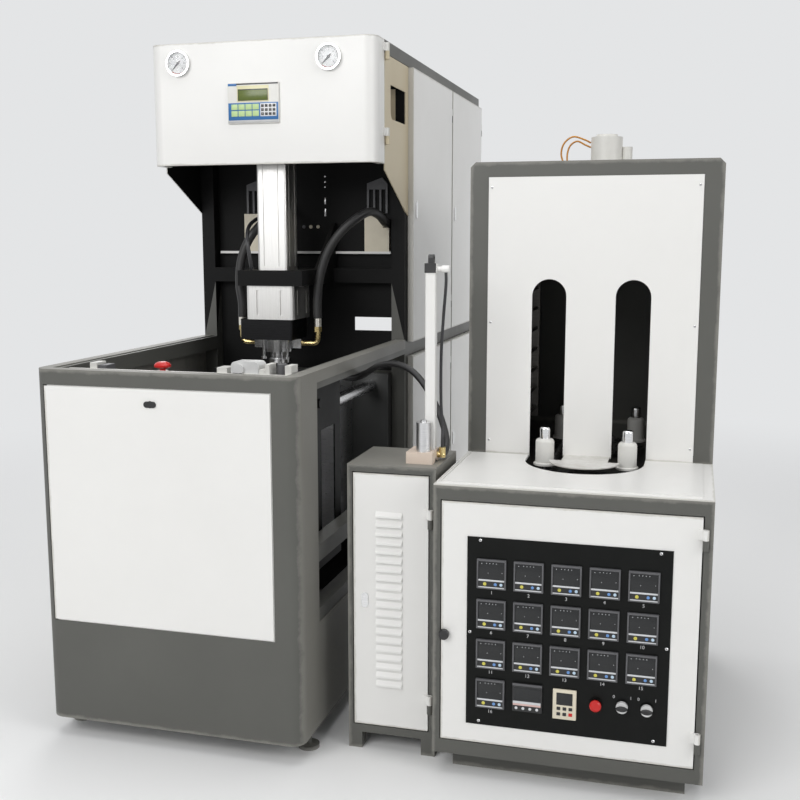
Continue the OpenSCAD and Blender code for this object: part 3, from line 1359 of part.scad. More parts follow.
moulder_frame();
front_casing();
front_panel();
front_latch();
cabinet_shell();
header_cover();
pressure_gauges();
left_needle();
right_needle();
controller();
upper_door_front();
upper_door_rear();
lower_door_front();
lower_door_rear();
side_guard();
inner_panel();
head_plate();
seal_cylinder();
stretch_cylinder();
blow_nozzle();
sealing_bell();
stretch_rod();
air_hoses();
valve_shelf();
stop_button();
end_plate();
tie_bars();
fixed_platen();
moving_platen();
rear_mould();
front_mould();
front_link();
rear_link();
clamp_barrel();
clamp_rod();
air_cabinet();
louvred_door();
cabinet_lock();
cylinder_base();
upright_cylinder();
heater_cabinet();
heater_door();
control_panel();
regulators();
door_knob();
push_button();
left_selector();
right_selector();
deck_plate();
hood();
hood_panel();
lamp_rack();
chain();
chain_wheels();
mandrel_1();
mandrel_2();
mandrel_3();
mandrel_4();
hood_motor();
motor_leads();
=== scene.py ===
import math

import bmesh
import bpy
from mathutils import Matrix, Vector


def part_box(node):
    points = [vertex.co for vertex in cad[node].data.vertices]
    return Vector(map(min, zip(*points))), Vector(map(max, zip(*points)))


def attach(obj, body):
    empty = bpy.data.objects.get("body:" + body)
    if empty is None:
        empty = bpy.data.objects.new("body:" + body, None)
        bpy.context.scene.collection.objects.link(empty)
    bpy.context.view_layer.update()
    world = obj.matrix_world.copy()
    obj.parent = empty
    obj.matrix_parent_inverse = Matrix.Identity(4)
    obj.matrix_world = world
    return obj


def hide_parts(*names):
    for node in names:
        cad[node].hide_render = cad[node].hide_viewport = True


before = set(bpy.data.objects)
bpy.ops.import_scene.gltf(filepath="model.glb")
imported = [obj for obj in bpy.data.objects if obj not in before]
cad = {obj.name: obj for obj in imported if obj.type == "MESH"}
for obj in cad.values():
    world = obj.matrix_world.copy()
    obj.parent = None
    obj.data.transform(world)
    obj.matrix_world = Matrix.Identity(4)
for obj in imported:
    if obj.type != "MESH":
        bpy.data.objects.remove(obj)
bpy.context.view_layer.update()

# Studio: the set stands on a pale floor, with the blow moulder at the left, the air cabinet in the middle and
# the preform heater at the right. The camera stands where the photographer stood, among four soft lamps.
scene = bpy.context.scene
scene.view_settings.view_transform = "Standard"

camera_tilt, camera_turn = 81.37, 15.32
camera = bpy.data.objects.new("camera", bpy.data.cameras.new("camera"))
scene.collection.objects.link(camera)
scene.camera = camera
camera.data.lens = 48
camera.data.sensor_width = 36
camera.location = (0.7905, -3.5167, 1.345)
camera.rotation_euler = (math.radians(camera_tilt), 0, math.radians(camera_turn))


def soft_box(name, place, target, width, height, watts):
    """A rectangular studio lamp that faces its target."""
    lamp = bpy.data.lights.new(name, "AREA")
    lamp.shape = "RECTANGLE"
    lamp.size = width
    lamp.size_y = height
    lamp.energy = watts
    stand = bpy.data.objects.new(name, lamp)
    stand.location = place
    stand.rotation_euler = (Vector(target) - Vector(place)).to_track_quat("-Z", "Y").to_euler()
    scene.collection.objects.link(stand)


soft_box("front_lamp", place=(-1.6, -5.2, 3.4), target=(0, 0, 0.9), width=3.4, height=2.6, watts=140)
soft_box("right_lamp", place=(4.6, -2.6, 2.8), target=(0.2, 0.1, 0.9), width=2.4, height=2.6, watts=68)
soft_box("top_lamp", place=(0.1, -0.3, 5.0), target=(0, 0, 0), width=4.0, height=4.0, watts=95)
soft_box("back_lamp", place=(-2.2, 4.8, 3.4), target=(0, 0.4, 0.9), width=3.0, height=2.4, watts=80)


def maths(tree, operation, a, b, clamp=False):
    """A Math node; a and b are sockets or numbers."""
    node = tree.nodes.new("ShaderNodeMath")
    node.operation = operation
    node.use_clamp = clamp
    for socket, value in zip(node.inputs, (a, b)):
        if isinstance(value, bpy.types.NodeSocket):
            tree.links.new(value, socket)
        else:
            socket.default_value = value
    return node.outputs[0]


def in_sight(tree):
    """1 for a ray from the camera, or one that metal or glass sends on, and 0 for the light itself."""
    rays = tree.nodes.new("ShaderNodeLightPath").outputs
    seen = rays["Is Camera Ray"]
    for kind in ("Is Glossy Ray", "Is Transmission Ray"):
        seen = maths(tree, "MAXIMUM", seen, rays[kind])
    return seen


def glow(tree, kind, colour, strength):
    """A Background or Emission node of one plain colour."""
    node = tree.nodes.new(kind)
    node.inputs["Color"].default_value = colour
    node.inputs["Strength"].default_value = strength
    return node.outputs[0]


def mix_shaders(tree, share, first, second):
    """Mixes two shaders by a socket that runs from 0 to 1."""
    node = tree.nodes.new("ShaderNodeMixShader")
    for socket, source in zip(node.inputs, (share, first, second)):
        tree.links.new(source, socket)
    return node.outputs[0]


room_colour, room_strength = (0.93, 0.95, 1.0, 1), 0.34
backdrop_colour, backdrop_strength = (0.86, 0.87, 0.88, 1), 0.9
world = bpy.data.worlds.new("studio")
scene.world = world
world.use_nodes = True
sky = world.node_tree
sky.nodes.clear()
room_light = glow(sky, "ShaderNodeBackground", room_colour, room_strength)
backdrop = glow(sky, "ShaderNodeBackground", backdrop_colour, backdrop_strength)
sky.links.new(mix_shaders(sky, in_sight(sky), room_light, backdrop),
              sky.nodes.new("ShaderNodeOutputWorld").inputs["Surface"])

floor_radius = 40
floor_mesh = bpy.data.meshes.new("floor")
floor_shape = bmesh.new()
bmesh.ops.create_circle(floor_shape, cap_ends=True, radius=floor_radius, segments=96)
floor_shape.to_mesh(floor_mesh)
floor_shape.free()
floor = bpy.data.objects.new("floor", floor_mesh)
scene.collection.objects.link(floor)
floor_paint = bpy.data.materials.new("floor")
floor_paint.use_nodes = True
floor_mesh.materials.append(floor_paint)

# Far from the set the floor is seen in the backdrop's own light, so that no horizon shows
fade_start, fade_end = 1.6, 5.0
paint = floor_paint.node_tree
floor_shader = paint.nodes["Principled BSDF"]
floor_shader.inputs["Base Color"].default_value = (0.86, 0.86, 0.85, 1)
floor_shader.inputs["Roughness"].default_value = 0.7
reach = paint.nodes.new("ShaderNodeVectorMath")
reach.operation = "LENGTH"
paint.links.new(paint.nodes.new("ShaderNodeTexCoord").outputs["Object"], reach.inputs[0])
fade = paint.nodes.new("ShaderNodeMapRange")
fade.interpolation_type = "SMOOTHSTEP"
fade.inputs["From Min"].default_value = fade_start
fade.inputs["From Max"].default_value = fade_end
paint.links.new(reach.outputs["Value"], fade.inputs["Value"])
share = maths(paint, "MULTIPLY", fade.outputs["Result"], in_sight(paint))
far_light = glow(paint, "ShaderNodeEmission", backdrop_colour, backdrop_strength)
paint.links.new(mix_shaders(paint, share, floor_shader.outputs[0], far_light),
                paint.nodes["Material Output"].inputs["Surface"])

# Frames and casings: steel sheet and square tube, folded, welded up and powder coated in a dark warm grey.
# The coat has a fine orange peel, is rubbed along the borders and gathers dust on what faces up.
FLOAT, VECTOR = "NodeSocketFloat", "NodeSocketVector"
X, Y, Z = range(3)


def effect(name, inputs, outputs):
    """A shader node group with named inputs and outputs, and its group nodes."""
    group = bpy.data.node_groups.new(name, "ShaderNodeTree")
    for label, kind, value in inputs:
        socket = group.interface.new_socket(label, in_out="INPUT", socket_type=kind)
        socket.default_value = value
    for label in outputs:
        group.interface.new_socket(label, in_out="OUTPUT", socket_type=FLOAT)
    return group, group.nodes.new("NodeGroupInput").outputs, group.nodes.new("NodeGroupOutput").inputs


def spread(tree, value, low, high, to_low=0.0, to_high=1.0):
    """Maps a value from one range to another, and holds it there."""
    node = tree.nodes.new("ShaderNodeMapRange")
    node.inputs["From Min"].default_value = low
    node.inputs["From Max"].default_value = high
    node.inputs["To Min"].default_value = to_low
    node.inputs["To Max"].default_value = to_high
    tree.links.new(value, node.inputs["Value"])
    return node.outputs["Result"]


def noise(tree, where, scale, detail, rough=0.5):
    """A Noise node on a coordinate socket; scale is a socket or a number."""
    node = tree.nodes.new("ShaderNodeTexNoise")
    node.inputs["Detail"].default_value = detail
    node.inputs["Roughness"].default_value = rough
    tree.links.new(where, node.inputs["Vector"])
    if isinstance(scale, bpy.types.NodeSocket):
        tree.links.new(scale, node.inputs["Scale"])
    else:
        node.inputs["Scale"].default_value = scale
    return node.outputs["Fac"]


# Grain: the orange peel of a coat or the spark-eroded skin of a moulding, with slow clouds of tone
grain, given, made = effect("grain", [("Scale", FLOAT, 420.0), ("Cloud", FLOAT, 3.0)], ["Height", "Tone"])
spot = grain.nodes.new("ShaderNodeTexCoord").outputs["Object"]
grain.links.new(noise(grain, spot, given["Scale"], detail=2.0), made["Height"])
cloud = noise(grain, spot, given["Cloud"], detail=5.0, rough=0.6)
grain.links.new(spread(grain, cloud, 0.3, 0.7), made["Tone"])

# Rub: ragged wear in a strip along the borders of a box
rub, given, made = effect(
    "rub", [("Low", VECTOR, (0, 0, 0)), ("High", VECTOR, (0, 0, 0)), ("Width", FLOAT, 0.02)], ["Mask"])
spot = rub.nodes.new("ShaderNodeTexCoord").outputs["Object"]
nearest = None
for first, second in ((spot, given["Low"]), (given["High"], spot)):
    step = rub.nodes.new("ShaderNodeVectorMath")
    step.operation = "SUBTRACT"
    rub.links.new(first, step.inputs[0])
    rub.links.new(second, step.inputs[1])
    split = rub.nodes.new("ShaderNodeSeparateXYZ")
    rub.links.new(step.outputs[0], split.inputs[0])
    for axis in split.outputs:
        nearest = axis if nearest is None else maths(rub, "MINIMUM", nearest, axis)
ragged = maths(rub, "MULTIPLY", noise(rub, spot, scale=22.0, detail=6.0, rough=0.65), given["Width"])
close = maths(rub, "DIVIDE", maths(rub, "SUBTRACT", ragged, nearest), given["Width"], clamp=True)
rub.links.new(spread(rub, close, 0.0, 0.35), made["Mask"])

# Dust: thin patches on what faces up
dust, given, made = effect("dust", [("Amount", FLOAT, 0.3)], ["Mask"])
coordinates = dust.nodes.new("ShaderNodeTexCoord").outputs
facing = dust.nodes.new("ShaderNodeSeparateXYZ")
dust.links.new(coordinates["Normal"], facing.inputs[0])
up = spread(dust, facing.outputs["Z"], 0.55, 0.95)
patches = spread(dust, noise(dust, coordinates["Object"], scale=9.0, detail=6.0, rough=0.7), 0.1, 1.1)
dust.links.new(maths(dust, "MULTIPLY", maths(dust, "MULTIPLY", up, patches), given["Amount"]), made["Mask"])


def shader_of(material):
    """A material's Principled shader."""
    return material.node_tree.nodes["Principled BSDF"]


def finish(name, colour, roughness, metallic=0.0):
    """A new material with its tree and its shader."""
    material = bpy.data.materials.new(name)
    material.use_nodes = True
    shader = shader_of(material)
    shader.inputs["Base Color"].default_value = (*colour, 1)
    shader.inputs["Roughness"].default_value = roughness
    shader.inputs["Metallic"].default_value = metallic
    material.diffuse_color = (*colour, 1)
    return material, material.node_tree, shader


def place(tree, group, **values):
    """A node group placed in a material, with its own values; gives its outputs."""
    node = tree.nodes.new("ShaderNodeGroup")
    node.node_tree = group
    for label, value in values.items():
        node.inputs[label].default_value = value
    return node.outputs


def tint(tree, mask, under, over):
    """Mixes two colours by a mask; each is a colour or a socket."""
    node = tree.nodes.new("ShaderNodeMix")
    node.data_type = "RGBA"
    tree.links.new(mask, node.inputs["Factor"])
    colour_a, colour_b, result = node.inputs[6], node.inputs[7], node.outputs[2]
    for socket, value in ((colour_a, under), (colour_b, over)):
        if isinstance(value, bpy.types.NodeSocket):
            tree.links.new(value, socket)
        else:
            socket.default_value = (*value, 1)
    return result


def raise_by(tree, shader, height, strength, distance):
    """Bump from a height socket."""
    bump = tree.nodes.new("ShaderNodeBump")
    bump.inputs["Strength"].default_value = strength
    bump.inputs["Distance"].default_value = distance
    tree.links.new(height, bump.inputs["Height"])
    tree.links.new(bump.outputs["Normal"], shader.inputs["Normal"])


dust_colour = (0.42, 0.40, 0.36)


def powder_coat(name, colour, deeper, roughness, worn, box=None, rub_width=0.02, dusty=0.25):
    """Powder coat on folded sheet: orange peel, slow clouds of tone, rubbed borders and settled dust."""
    material, tree, shader = finish(name, colour, roughness)
    peel = place(tree, grain, Scale=380.0, Cloud=2.6)
    base = tint(tree, peel["Tone"], colour, deeper)
    if box:
        low, high = box
        border = place(tree, rub, Low=low, High=high, Width=rub_width)
        base = tint(tree, border["Mask"], base, worn)
    settled = place(tree, dust, Amount=dusty)
    base = tint(tree, settled["Mask"], base, dust_colour)
    tree.links.new(base, shader.inputs["Base Color"])
    rough = spread(tree, peel["Tone"], 0.0, 1.0, roughness - 0.06, roughness + 0.08)
    rough = maths(tree, "ADD", rough, maths(tree, "MULTIPLY", settled["Mask"], 0.3))
    tree.links.new(rough, shader.inputs["Roughness"])
    raise_by(tree, shader, peel["Height"], strength=0.12, distance=0.0004)
    return material


def border_of(node, flat_axis):
    """A node's box, widened along the axis that its sheet is thin in, for the rub effect."""
    low, high = (Vector(corner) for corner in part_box(node))
    low[flat_axis] -= 1
    high[flat_axis] += 1
    return low, high


def coat(node, *finishes):
    """Gives a CAD node its finish, or all of its finishes."""
    mesh = cad[node].data
    mesh.materials.clear()
    for material in finishes:
        mesh.materials.append(material)


dark_grey, dark_deeper = (0.098, 0.098, 0.087), (0.084, 0.084, 0.075)
dark_worn = (0.19, 0.185, 0.165)
dark_rough = 0.46


def dark_coat(node, flat_axis):
    """The dark grey coat, rubbed along the piece's own borders."""
    return powder_coat("dark_coat_" + node, dark_grey, dark_deeper, dark_rough, dark_worn,
                       border_of(node, flat_axis))


for node in ("front_casing", "air_cabinet", "heater_cabinet", "hood"):
    coat(node, dark_coat(node, Y))

# End plate and platens: thick steel plates, flame cut and ground, under a darker satin paint. The tie bars
# run through their corners.
clamp_paint = powder_coat("clamp_paint", (0.06, 0.062, 0.06), (0.045, 0.046, 0.045), 0.42, dark_worn,
                          dusty=0.4)
for node in ("end_plate", "fixed_platen", "moving_platen"):
    coat(node, clamp_paint)

# Panels, covers and doors: folded sheet, powder coated in a warm white and a little grimy at the borders.
# They hang on hinges or are screwed to the frames.
white, white_deeper = (0.82, 0.812, 0.785), (0.79, 0.782, 0.755)
white_worn = (0.60, 0.585, 0.54)
white_rough = 0.36


def white_coat(node, flat_axis):
    """The white coat, rubbed along the piece's own borders."""
    return powder_coat("white_coat_" + node, white, white_deeper, white_rough, white_worn,
                       border_of(node, flat_axis), rub_width=0.012, dusty=0.12)


for node, flat_axis in (("front_panel", Y), ("header_cover", Y), ("louvred_door", Y), ("heater_door", Y),
                        ("deck_plate", Z), ("hood_panel", Y)):
    coat(node, white_coat(node, flat_axis))


# Head plate and guard: laser cut sheet under a soot black coat that hardly shines. The plate carries the blow
# head, and the guard hangs in a channel under the frame's right rim and slides along it.
def dull(material, level):
    """Turns down the sheen of a finish."""
    shader_of(material).inputs["Specular IOR Level"].default_value = level


# The same soot black is put as painted shade on faces inside the header bay: the shell's walls, the frame and
# the bulkhead
black_coat_and_painted_shade = powder_coat("black_coat_and_painted_shade", (0.006, 0.006, 0.006), (0.009, 0.009, 0.009), 0.5, (0.03, 0.03, 0.03),
                         dusty=0.06)
dull(black_coat_and_painted_shade, level=0.12)
for node in ("head_plate", "side_guard"):
    coat(node, black_coat_and_painted_shade)

# Bright metal: drawn and anodised cylinders, milled moulds, ground tie bars, plated rods and fittings, and
# the dull steel of links, chain and lamp reflectors, the reflectors darkened as painted shade inside the
# hood.
# All of it shows the fine lines of its machining.
lines, given, made = effect(
    "lines", [("Stretch", VECTOR, (1, 1, 40)), ("Scale", FLOAT, 60.0)], ["Height", "Tone"])
stretched = lines.nodes.new("ShaderNodeVectorMath")
stretched.operation = "MULTIPLY"
lines.links.new(lines.nodes.new("ShaderNodeTexCoord").outputs["Object"], stretched.inputs[0])
lines.links.new(given["Stretch"], stretched.inputs[1])
brushed = noise(lines, stretched.outputs[0], given["Scale"], detail=4.0, rough=0.6)
lines.links.new(brushed, made["Height"])
lines.links.new(spread(lines, brushed, 0.3, 0.7), made["Tone"])


def metal(name, colour, darker, roughness, stretch, scale):
    """Bare metal with the lines that its machining left; stretch is how often they repeat on each axis."""
    material, tree, shader = finish(name, colour, roughness, metallic=1.0)
    marks = place(tree, lines, Stretch=stretch, Scale=scale)
    tree.links.new(tint(tree, marks["Tone"], colour, darker), shader.inputs["Base Color"])
    tree.links.new(spread(tree, marks["Tone"], 0.0, 1.0, roughness - 0.07, roughness + 0.09),
                   shader.inputs["Roughness"])
    raise_by(tree, shader, marks["Height"], strength=0.25, distance=0.0002)
    return material


drawn_aluminium = metal("drawn_aluminium", (0.80, 0.79, 0.77), (0.68, 0.67, 0.65), 0.34, (30, 30, 0.6), 12.0)
milled_aluminium = metal("milled_aluminium", (0.74, 0.74, 0.74), (0.62, 0.62, 0.63), 0.32, (1, 1, 14), 30.0)
ground_steel = metal("ground_steel", (0.66, 0.66, 0.66), (0.55, 0.55, 0.56), 0.22, (30, 1, 30), 12.0)
plated_steel = metal("plated_steel", (0.80, 0.80, 0.80), (0.68, 0.68, 0.69), 0.16, (1, 1, 10), 40.0)
oiled_steel = metal("oiled_steel", (0.28, 0.28, 0.28), (0.16, 0.155, 0.15), 0.36, (6, 6, 6), 30.0)
link_steel = metal("link_steel", (0.36, 0.36, 0.37), (0.24, 0.24, 0.25), 0.38, (1, 10, 10), 30.0)
# The lamp rack's steel is darkened as painted shade inside the hood
lamp_rack_painted_shade = metal("lamp_rack_painted_shade", (0.30, 0.29, 0.27), (0.22, 0.21, 0.20), 0.4, (1, 1, 14), 30.0)
for material, nodes in ((drawn_aluminium, ("stretch_cylinder", "clamp_barrel")),
                        (milled_aluminium, ("rear_mould", "front_mould")),
                        (ground_steel, ("tie_bars",)),
                        (plated_steel, ("clamp_rod", "stretch_rod", "sealing_bell", "pressure_gauges",
                                        "cabinet_lock")),
                        (link_steel, ("front_link", "rear_link")),
                        (oiled_steel, ("chain", "chain_wheels")),
                        (lamp_rack_painted_shade, ("lamp_rack",))):
    for node in nodes:
        coat(node, material)


# Moulded parts: latch, knob, needles, buttons, motor shell, panel and instrument housings, all injection
# moulded or cut from laminate. They are screwed or snapped into their panels.
def moulded(name, colour, deeper, roughness):
    """Moulded plastic with a faint spark-eroded grain and handling marks."""
    material, tree, shader = finish(name, colour, roughness)
    skin = place(tree, grain, Scale=900.0, Cloud=18.0)
    tree.links.new(tint(tree, skin["Tone"], colour, deeper), shader.inputs["Base Color"])
    tree.links.new(spread(tree, skin["Tone"], 0.0, 1.0, roughness - 0.05, roughness + 0.1),
                   shader.inputs["Roughness"])
    raise_by(tree, shader, skin["Height"], strength=0.08, distance=0.0002)
    return material


black_plastic = moulded("black_plastic", (0.014, 0.014, 0.015), (0.022, 0.022, 0.022), 0.34)
white_plastic = moulded("white_plastic", (0.74, 0.73, 0.69), (0.68, 0.67, 0.63), 0.4)
red_plastic = moulded("red_plastic", (0.62, 0.015, 0.012), (0.5, 0.012, 0.01), 0.28)
pale_plastic = moulded("pale_plastic", (0.72, 0.72, 0.71), (0.64, 0.64, 0.63), 0.34)
grey_plastic = moulded("grey_plastic", (0.11, 0.11, 0.115), (0.085, 0.085, 0.09), 0.42)
panel_laminate = moulded("panel_laminate", (0.004, 0.0045, 0.004), (0.006, 0.0065, 0.006), 0.34)
dull(panel_laminate, level=0.16)
blue_plastic = moulded("blue_plastic", (0.03, 0.16, 0.40), (0.025, 0.13, 0.34), 0.35)
for material, nodes in ((black_plastic, ("front_latch", "door_knob", "left_needle", "right_needle")),
                        (white_plastic, ("hood_motor", "mandrel_1", "mandrel_2", "mandrel_3", "mandrel_4")),
                        (red_plastic, ("stop_button", "push_button")),
                        (grey_plastic, ("regulators",)),
                        (panel_laminate, ("control_panel",)),
                        (blue_plastic, ("controller",))):
    for node in nodes:
        coat(node, material)


# Pieces of several finishes: welded, screwed or cast together, but painted or plated apart, such as the dark
# roof on the white cabinet or the brass elbows on the nozzle. A face's place in its unit tells its finish.
def floor_corner(node):
    """A unit's front left corner on the floor, from the piece that reaches it."""
    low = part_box(node)[0]
    return Vector((low.x, low.y, 0))


moulder = floor_corner("front_casing")
heater = floor_corner("deck_plate")
air_cabinet_depth = 0.237
air_cabinet = Vector((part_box("air_cabinet")[0].x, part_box("air_cabinet")[1].y - air_cabinet_depth, 0))


def regions(node, unit, finishes, choose):
    """Gives a node its finishes; choose numbers each face's from its middle, in mm from the unit's corner."""
    coat(node, *finishes)
    piece = cad[node]
    for face in piece.data.polygons:
        x, y, z = (piece.matrix_world @ face.center - unit) * 1000
        face.material_index = choose(x, y, z)


roof_coat = powder_coat("roof_coat", (0.088, 0.087, 0.080), dark_deeper, dark_rough, dark_worn, dusty=0.3)
# Painted light and shade: a cream tint for the warm light that falls, dimmed, on the white sheet beside the
# header
painted_warm_light_coat = powder_coat("painted_warm_light_coat", (0.60, 0.52, 0.36), (0.56, 0.48, 0.33), 0.4, white_worn, dusty=0.1)
white_tube = powder_coat("white_tube", white, white_deeper, 0.34, white_worn, dusty=0.1)
brass = metal("brass", (0.72, 0.58, 0.28), (0.60, 0.47, 0.22), 0.26, (6, 6, 6), 30.0)
pale_steel = metal("pale_steel", (0.86, 0.83, 0.76), (0.76, 0.73, 0.67), 0.28, (2, 2, 20), 40.0)
black_anodised = metal("black_anodised", (0.03, 0.03, 0.032), (0.02, 0.02, 0.02), 0.34, (1, 1, 14), 30.0)
pink_block = moulded("pink_block", (0.72, 0.60, 0.50), (0.66, 0.55, 0.46), 0.4)
cream_plastic = moulded("cream_plastic", (0.74, 0.68, 0.54), (0.68, 0.62, 0.49), 0.38)


def shell_finish(x, y, z):
    """White outside, with a dark roof and rim; the cheek beside the header is tinted cream as painted warm
    light, and the inside is black as painted shade.
    """
    outside, roof, cheek, painted_shade_inside = range(4)
    roof_z, rim_z, right_wall, cheek_back = 1928.9, 1893.5, 726.5, 1051
    if z > roof_z or z > rim_z and x > right_wall:
        return roof
    # The inside faces of the walls are black as painted shade
    inside_left = 2.5 < x < 3.5
    inside_right = right_wall < x < right_wall + 1 and y < cheek_back
    if inside_left or inside_right:
        return painted_shade_inside
    # The cheek and the strip seen in its cut-out take the cream of painted warm light
    front_return = x > 650 and y < 1016
    return cheek if x > right_wall and y < cheek_back or front_return else outside


def nozzle_finish(x, y, z):
    """Plated manifold, with pale ferrules on top and brass elbows at both sides."""
    manifold, elbow, ferrule = range(3)
    nozzle_x, elbow_reach, elbow_z, ferrule_z = 365, 80, 1000, 1065
    if z > ferrule_z:
        return ferrule
    return elbow if abs(x - nozzle_x) > elbow_reach and z > elbow_z else manifold


def valve_finish(x, y, z):
    """Shelf and valves white, knob and stop box black, solenoid and switch grey, filter pale grey."""
    in_white, in_black, in_grey, in_pale = range(4)
    before_valves = y < 96.5 and z < 1004
    knob = 520 < x < 554 and z > 995
    stop_box = 277 < x < 337 and z < 994
    solenoid, switch, filter_bowl = 131 < x < 157, 632 < x < 660, 513 < x < 591
    if before_valves:
        return in_black if knob else in_white
    if stop_box:
        return in_black
    if solenoid or switch:
        return in_grey
    return in_pale if filter_bowl else in_white


def bulkhead_finish(x, y, z):
    """Sheet black as painted shade, with a white ledge, and two cream relay blocks under their grey brackets.
    """
    sheet, relay, bracket, ledge = range(4)
    sheet_front, ledge_top, relay_top = 1059, 1301.5, 1427.5
    if y < sheet_front and ledge_top < z < relay_top:
        return relay
    if y < sheet_front + 0.9 and z > relay_top - 0.5:
        return bracket
    return ledge if y < sheet_front and ledge_top - 9.5 < z < ledge_top + 0.5 else sheet


def base_block_finish(x, y, z):
    """Pinkish block, with an aluminium collar, a brass elbow and a black insert."""
    body, collar, elbow, insert = range(4)
    if x > 215.2:
        return elbow
    if z > 802.2:
        return collar
    return insert if z < 784.5 and 69 < y < 97 and 146 < x < 215 else body


rail_top, bay_front = 1105, 770
seal_cap_top = 1092
bar_face = -16.2
door_face, lock_stands, lock_half = 747, 0.4, 30
plug_foot, plug_right = 1257.9, 212
regions("cabinet_shell", moulder, (white_coat("cabinet_shell", X), roof_coat, painted_warm_light_coat, black_coat_and_painted_shade),
        shell_finish)
# The frame's faces above the rail in the header bay take the soot black as painted shade
regions("moulder_frame", moulder, (dark_coat("moulder_frame", X), black_coat_and_painted_shade),
        lambda x, y, z: int(z > rail_top and y > bay_front))
regions("seal_cylinder", moulder, (drawn_aluminium, black_anodised), lambda x, y, z: int(z < seal_cap_top))
regions("blow_nozzle", moulder, (plated_steel, brass, pale_steel), nozzle_finish)
regions("valve_shelf", moulder, (white_plastic, black_plastic, grey_plastic, pale_plastic), valve_finish)
regions("inner_panel", moulder, (black_coat_and_painted_shade, cream_plastic, grey_plastic, white_tube), bulkhead_finish)
for selector in ("left_selector", "right_selector"):
    regions(selector, heater, (pale_plastic, black_plastic), lambda x, y, z: int(y < bar_face))
for door, lock_z in (("upper_door_front", 1438), ("upper_door_rear", 1438), ("lower_door_front", 560),
                     ("lower_door_rear", 560)):
    regions(door, moulder, (white_coat(door, X), plated_steel),
            lambda x, y, z: int(x > door_face + lock_stands and abs(z - lock_z) < lock_half))
regions("upright_cylinder", air_cabinet, (white_tube, black_plastic),
        lambda x, y, z: int(z > plug_foot and x < plug_right))
regions("cylinder_base", air_cabinet, (pink_block, milled_aluminium, brass, black_plastic), base_block_finish)


# Bulkhead details: bright screws and slots in a row behind the blow head, and three small dull lamps beside
# the stretch cylinder. They are turned and pressed parts, set in the sheet's front, black as painted shade.
def give_part(verts, part):
    """Gives the faces of new vertices their material."""
    for face in {face for vert in verts for face in vert.link_faces}:
        face.material_index = part


def block(shape, low, high, part, soft, segments=2):
    """A box from corner to corner with softened edges."""
    low, high = Vector(low), Vector(high)
    made = bmesh.ops.create_cube(shape, size=1)["verts"]
    bmesh.ops.scale(shape, vec=high - low, verts=made)
    bmesh.ops.translate(shape, vec=(low + high) / 2, verts=made)
    give_part(made, part)
    edges = list({edge for vert in made for edge in vert.link_edges})
    bmesh.ops.bevel(shape, geom=edges, offset=soft, segments=segments, profile=0.5, affect="EDGES",
                    material=-1)


def turned(shape, profile, centre, along, part, steps):
    """A turned form; its profile runs from pole to pole, in points of a radius and a height on the axis."""
    before = set(shape.faces)
    line = [shape.verts.new((radius, 0, height)) for radius, height in profile]
    line += [shape.edges.new(pair) for pair in zip(line, line[1:])]
    bmesh.ops.spin(shape, geom=line, cent=(0, 0, 0), axis=(0, 0, 1), dvec=(0, 0, 0), angle=math.tau,
                   steps=steps, use_merge=True)
    verts = list({vert for face in shape.faces if face not in before for vert in face.verts})
    bmesh.ops.remove_doubles(shape, verts=verts, dist=1e-5)
    faces = [face for face in shape.faces if face not in before]
    for face in faces:
        face.material_index = part
    seat = Matrix.Translation(centre) @ Vector(along).to_track_quat("Z", "Y").to_matrix().to_4x4()
    bmesh.ops.transform(shape, matrix=seat, verts=list({vert for face in faces for vert in face.verts}))


def build(name, shape, unit, materials, body, stands_for=()):
    """Makes a piece of a shape that is drawn in millimetres from its unit's corner."""
    sharp = math.radians(33)
    bmesh.ops.transform(shape, matrix=Matrix.Translation(unit) @ Matrix.Scale(0.001, 4), verts=shape.verts)
    bmesh.ops.recalc_face_normals(shape, faces=shape.faces)
    for face in shape.faces:
        face.smooth = True
    for edge in shape.edges:
        edge.smooth = len(edge.link_faces) == 2 and edge.calc_face_angle(0) < sharp
    mesh = bpy.data.meshes.new(name)
    shape.to_mesh(mesh)
    shape.free()
    for material in materials:
        mesh.materials.append(material)
    piece = bpy.data.objects.new(name, mesh)
    scene.collection.objects.link(piece)
    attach(piece, body)
    if stands_for:
        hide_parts(*stands_for)


to_front = (0, -1, 0)
sheet_y = 1060
screw_x = 437
screw_head = [(0, 0), (3.2, 0), (3.2, 0.8), (2.2, 1.5), (0, 1.7)]
lamp_lens = [(0, 0), (6, 0), (6, 2), (4.5, 3.4), (0, 4)]
lamp_z = 1383
slot_half, slot_lift = 2.5, 1.2
BRIGHT, DULL_LENS, CREAM_LENS = range(3)
shape = bmesh.new()
for z in (1515, 1532, 1550):
    turned(shape, screw_head, (screw_x, sheet_y, z), to_front, BRIGHT, 16)
for low_z, high_z in ((1418, 1444), (1458, 1480)):
    block(shape, (screw_x - slot_half, sheet_y - slot_lift, low_z), (screw_x + slot_half, sheet_y, high_z),
          BRIGHT, 0.5)
for x, part in ((360, DULL_LENS), (385, CREAM_LENS), (411, CREAM_LENS)):
    turned(shape, lamp_lens, (x, sheet_y, lamp_z), to_front, part, 20)
build("bulkhead_details", shape, moulder, (plated_steel, grey_plastic, cream_plastic), "base")


# Gauges: turned cases screwed into the cover, each with a white dial behind a flat glass. The dial is printed
# with a plain scale from 0 to 6, and a red arc marks the range that isn't used.
def printed(name, colour, roughness, light, dark, scale=900.0, cloud=60.0):
    """Ink or plain dyed plastic, a little uneven in tone."""
    material, tree, shader = finish(name, colour, roughness)
    fleck = place(tree, grain, Scale=scale, Cloud=cloud)
    tree.links.new(tint(tree, fleck["Tone"], light, dark), shader.inputs["Base Color"])
    return material


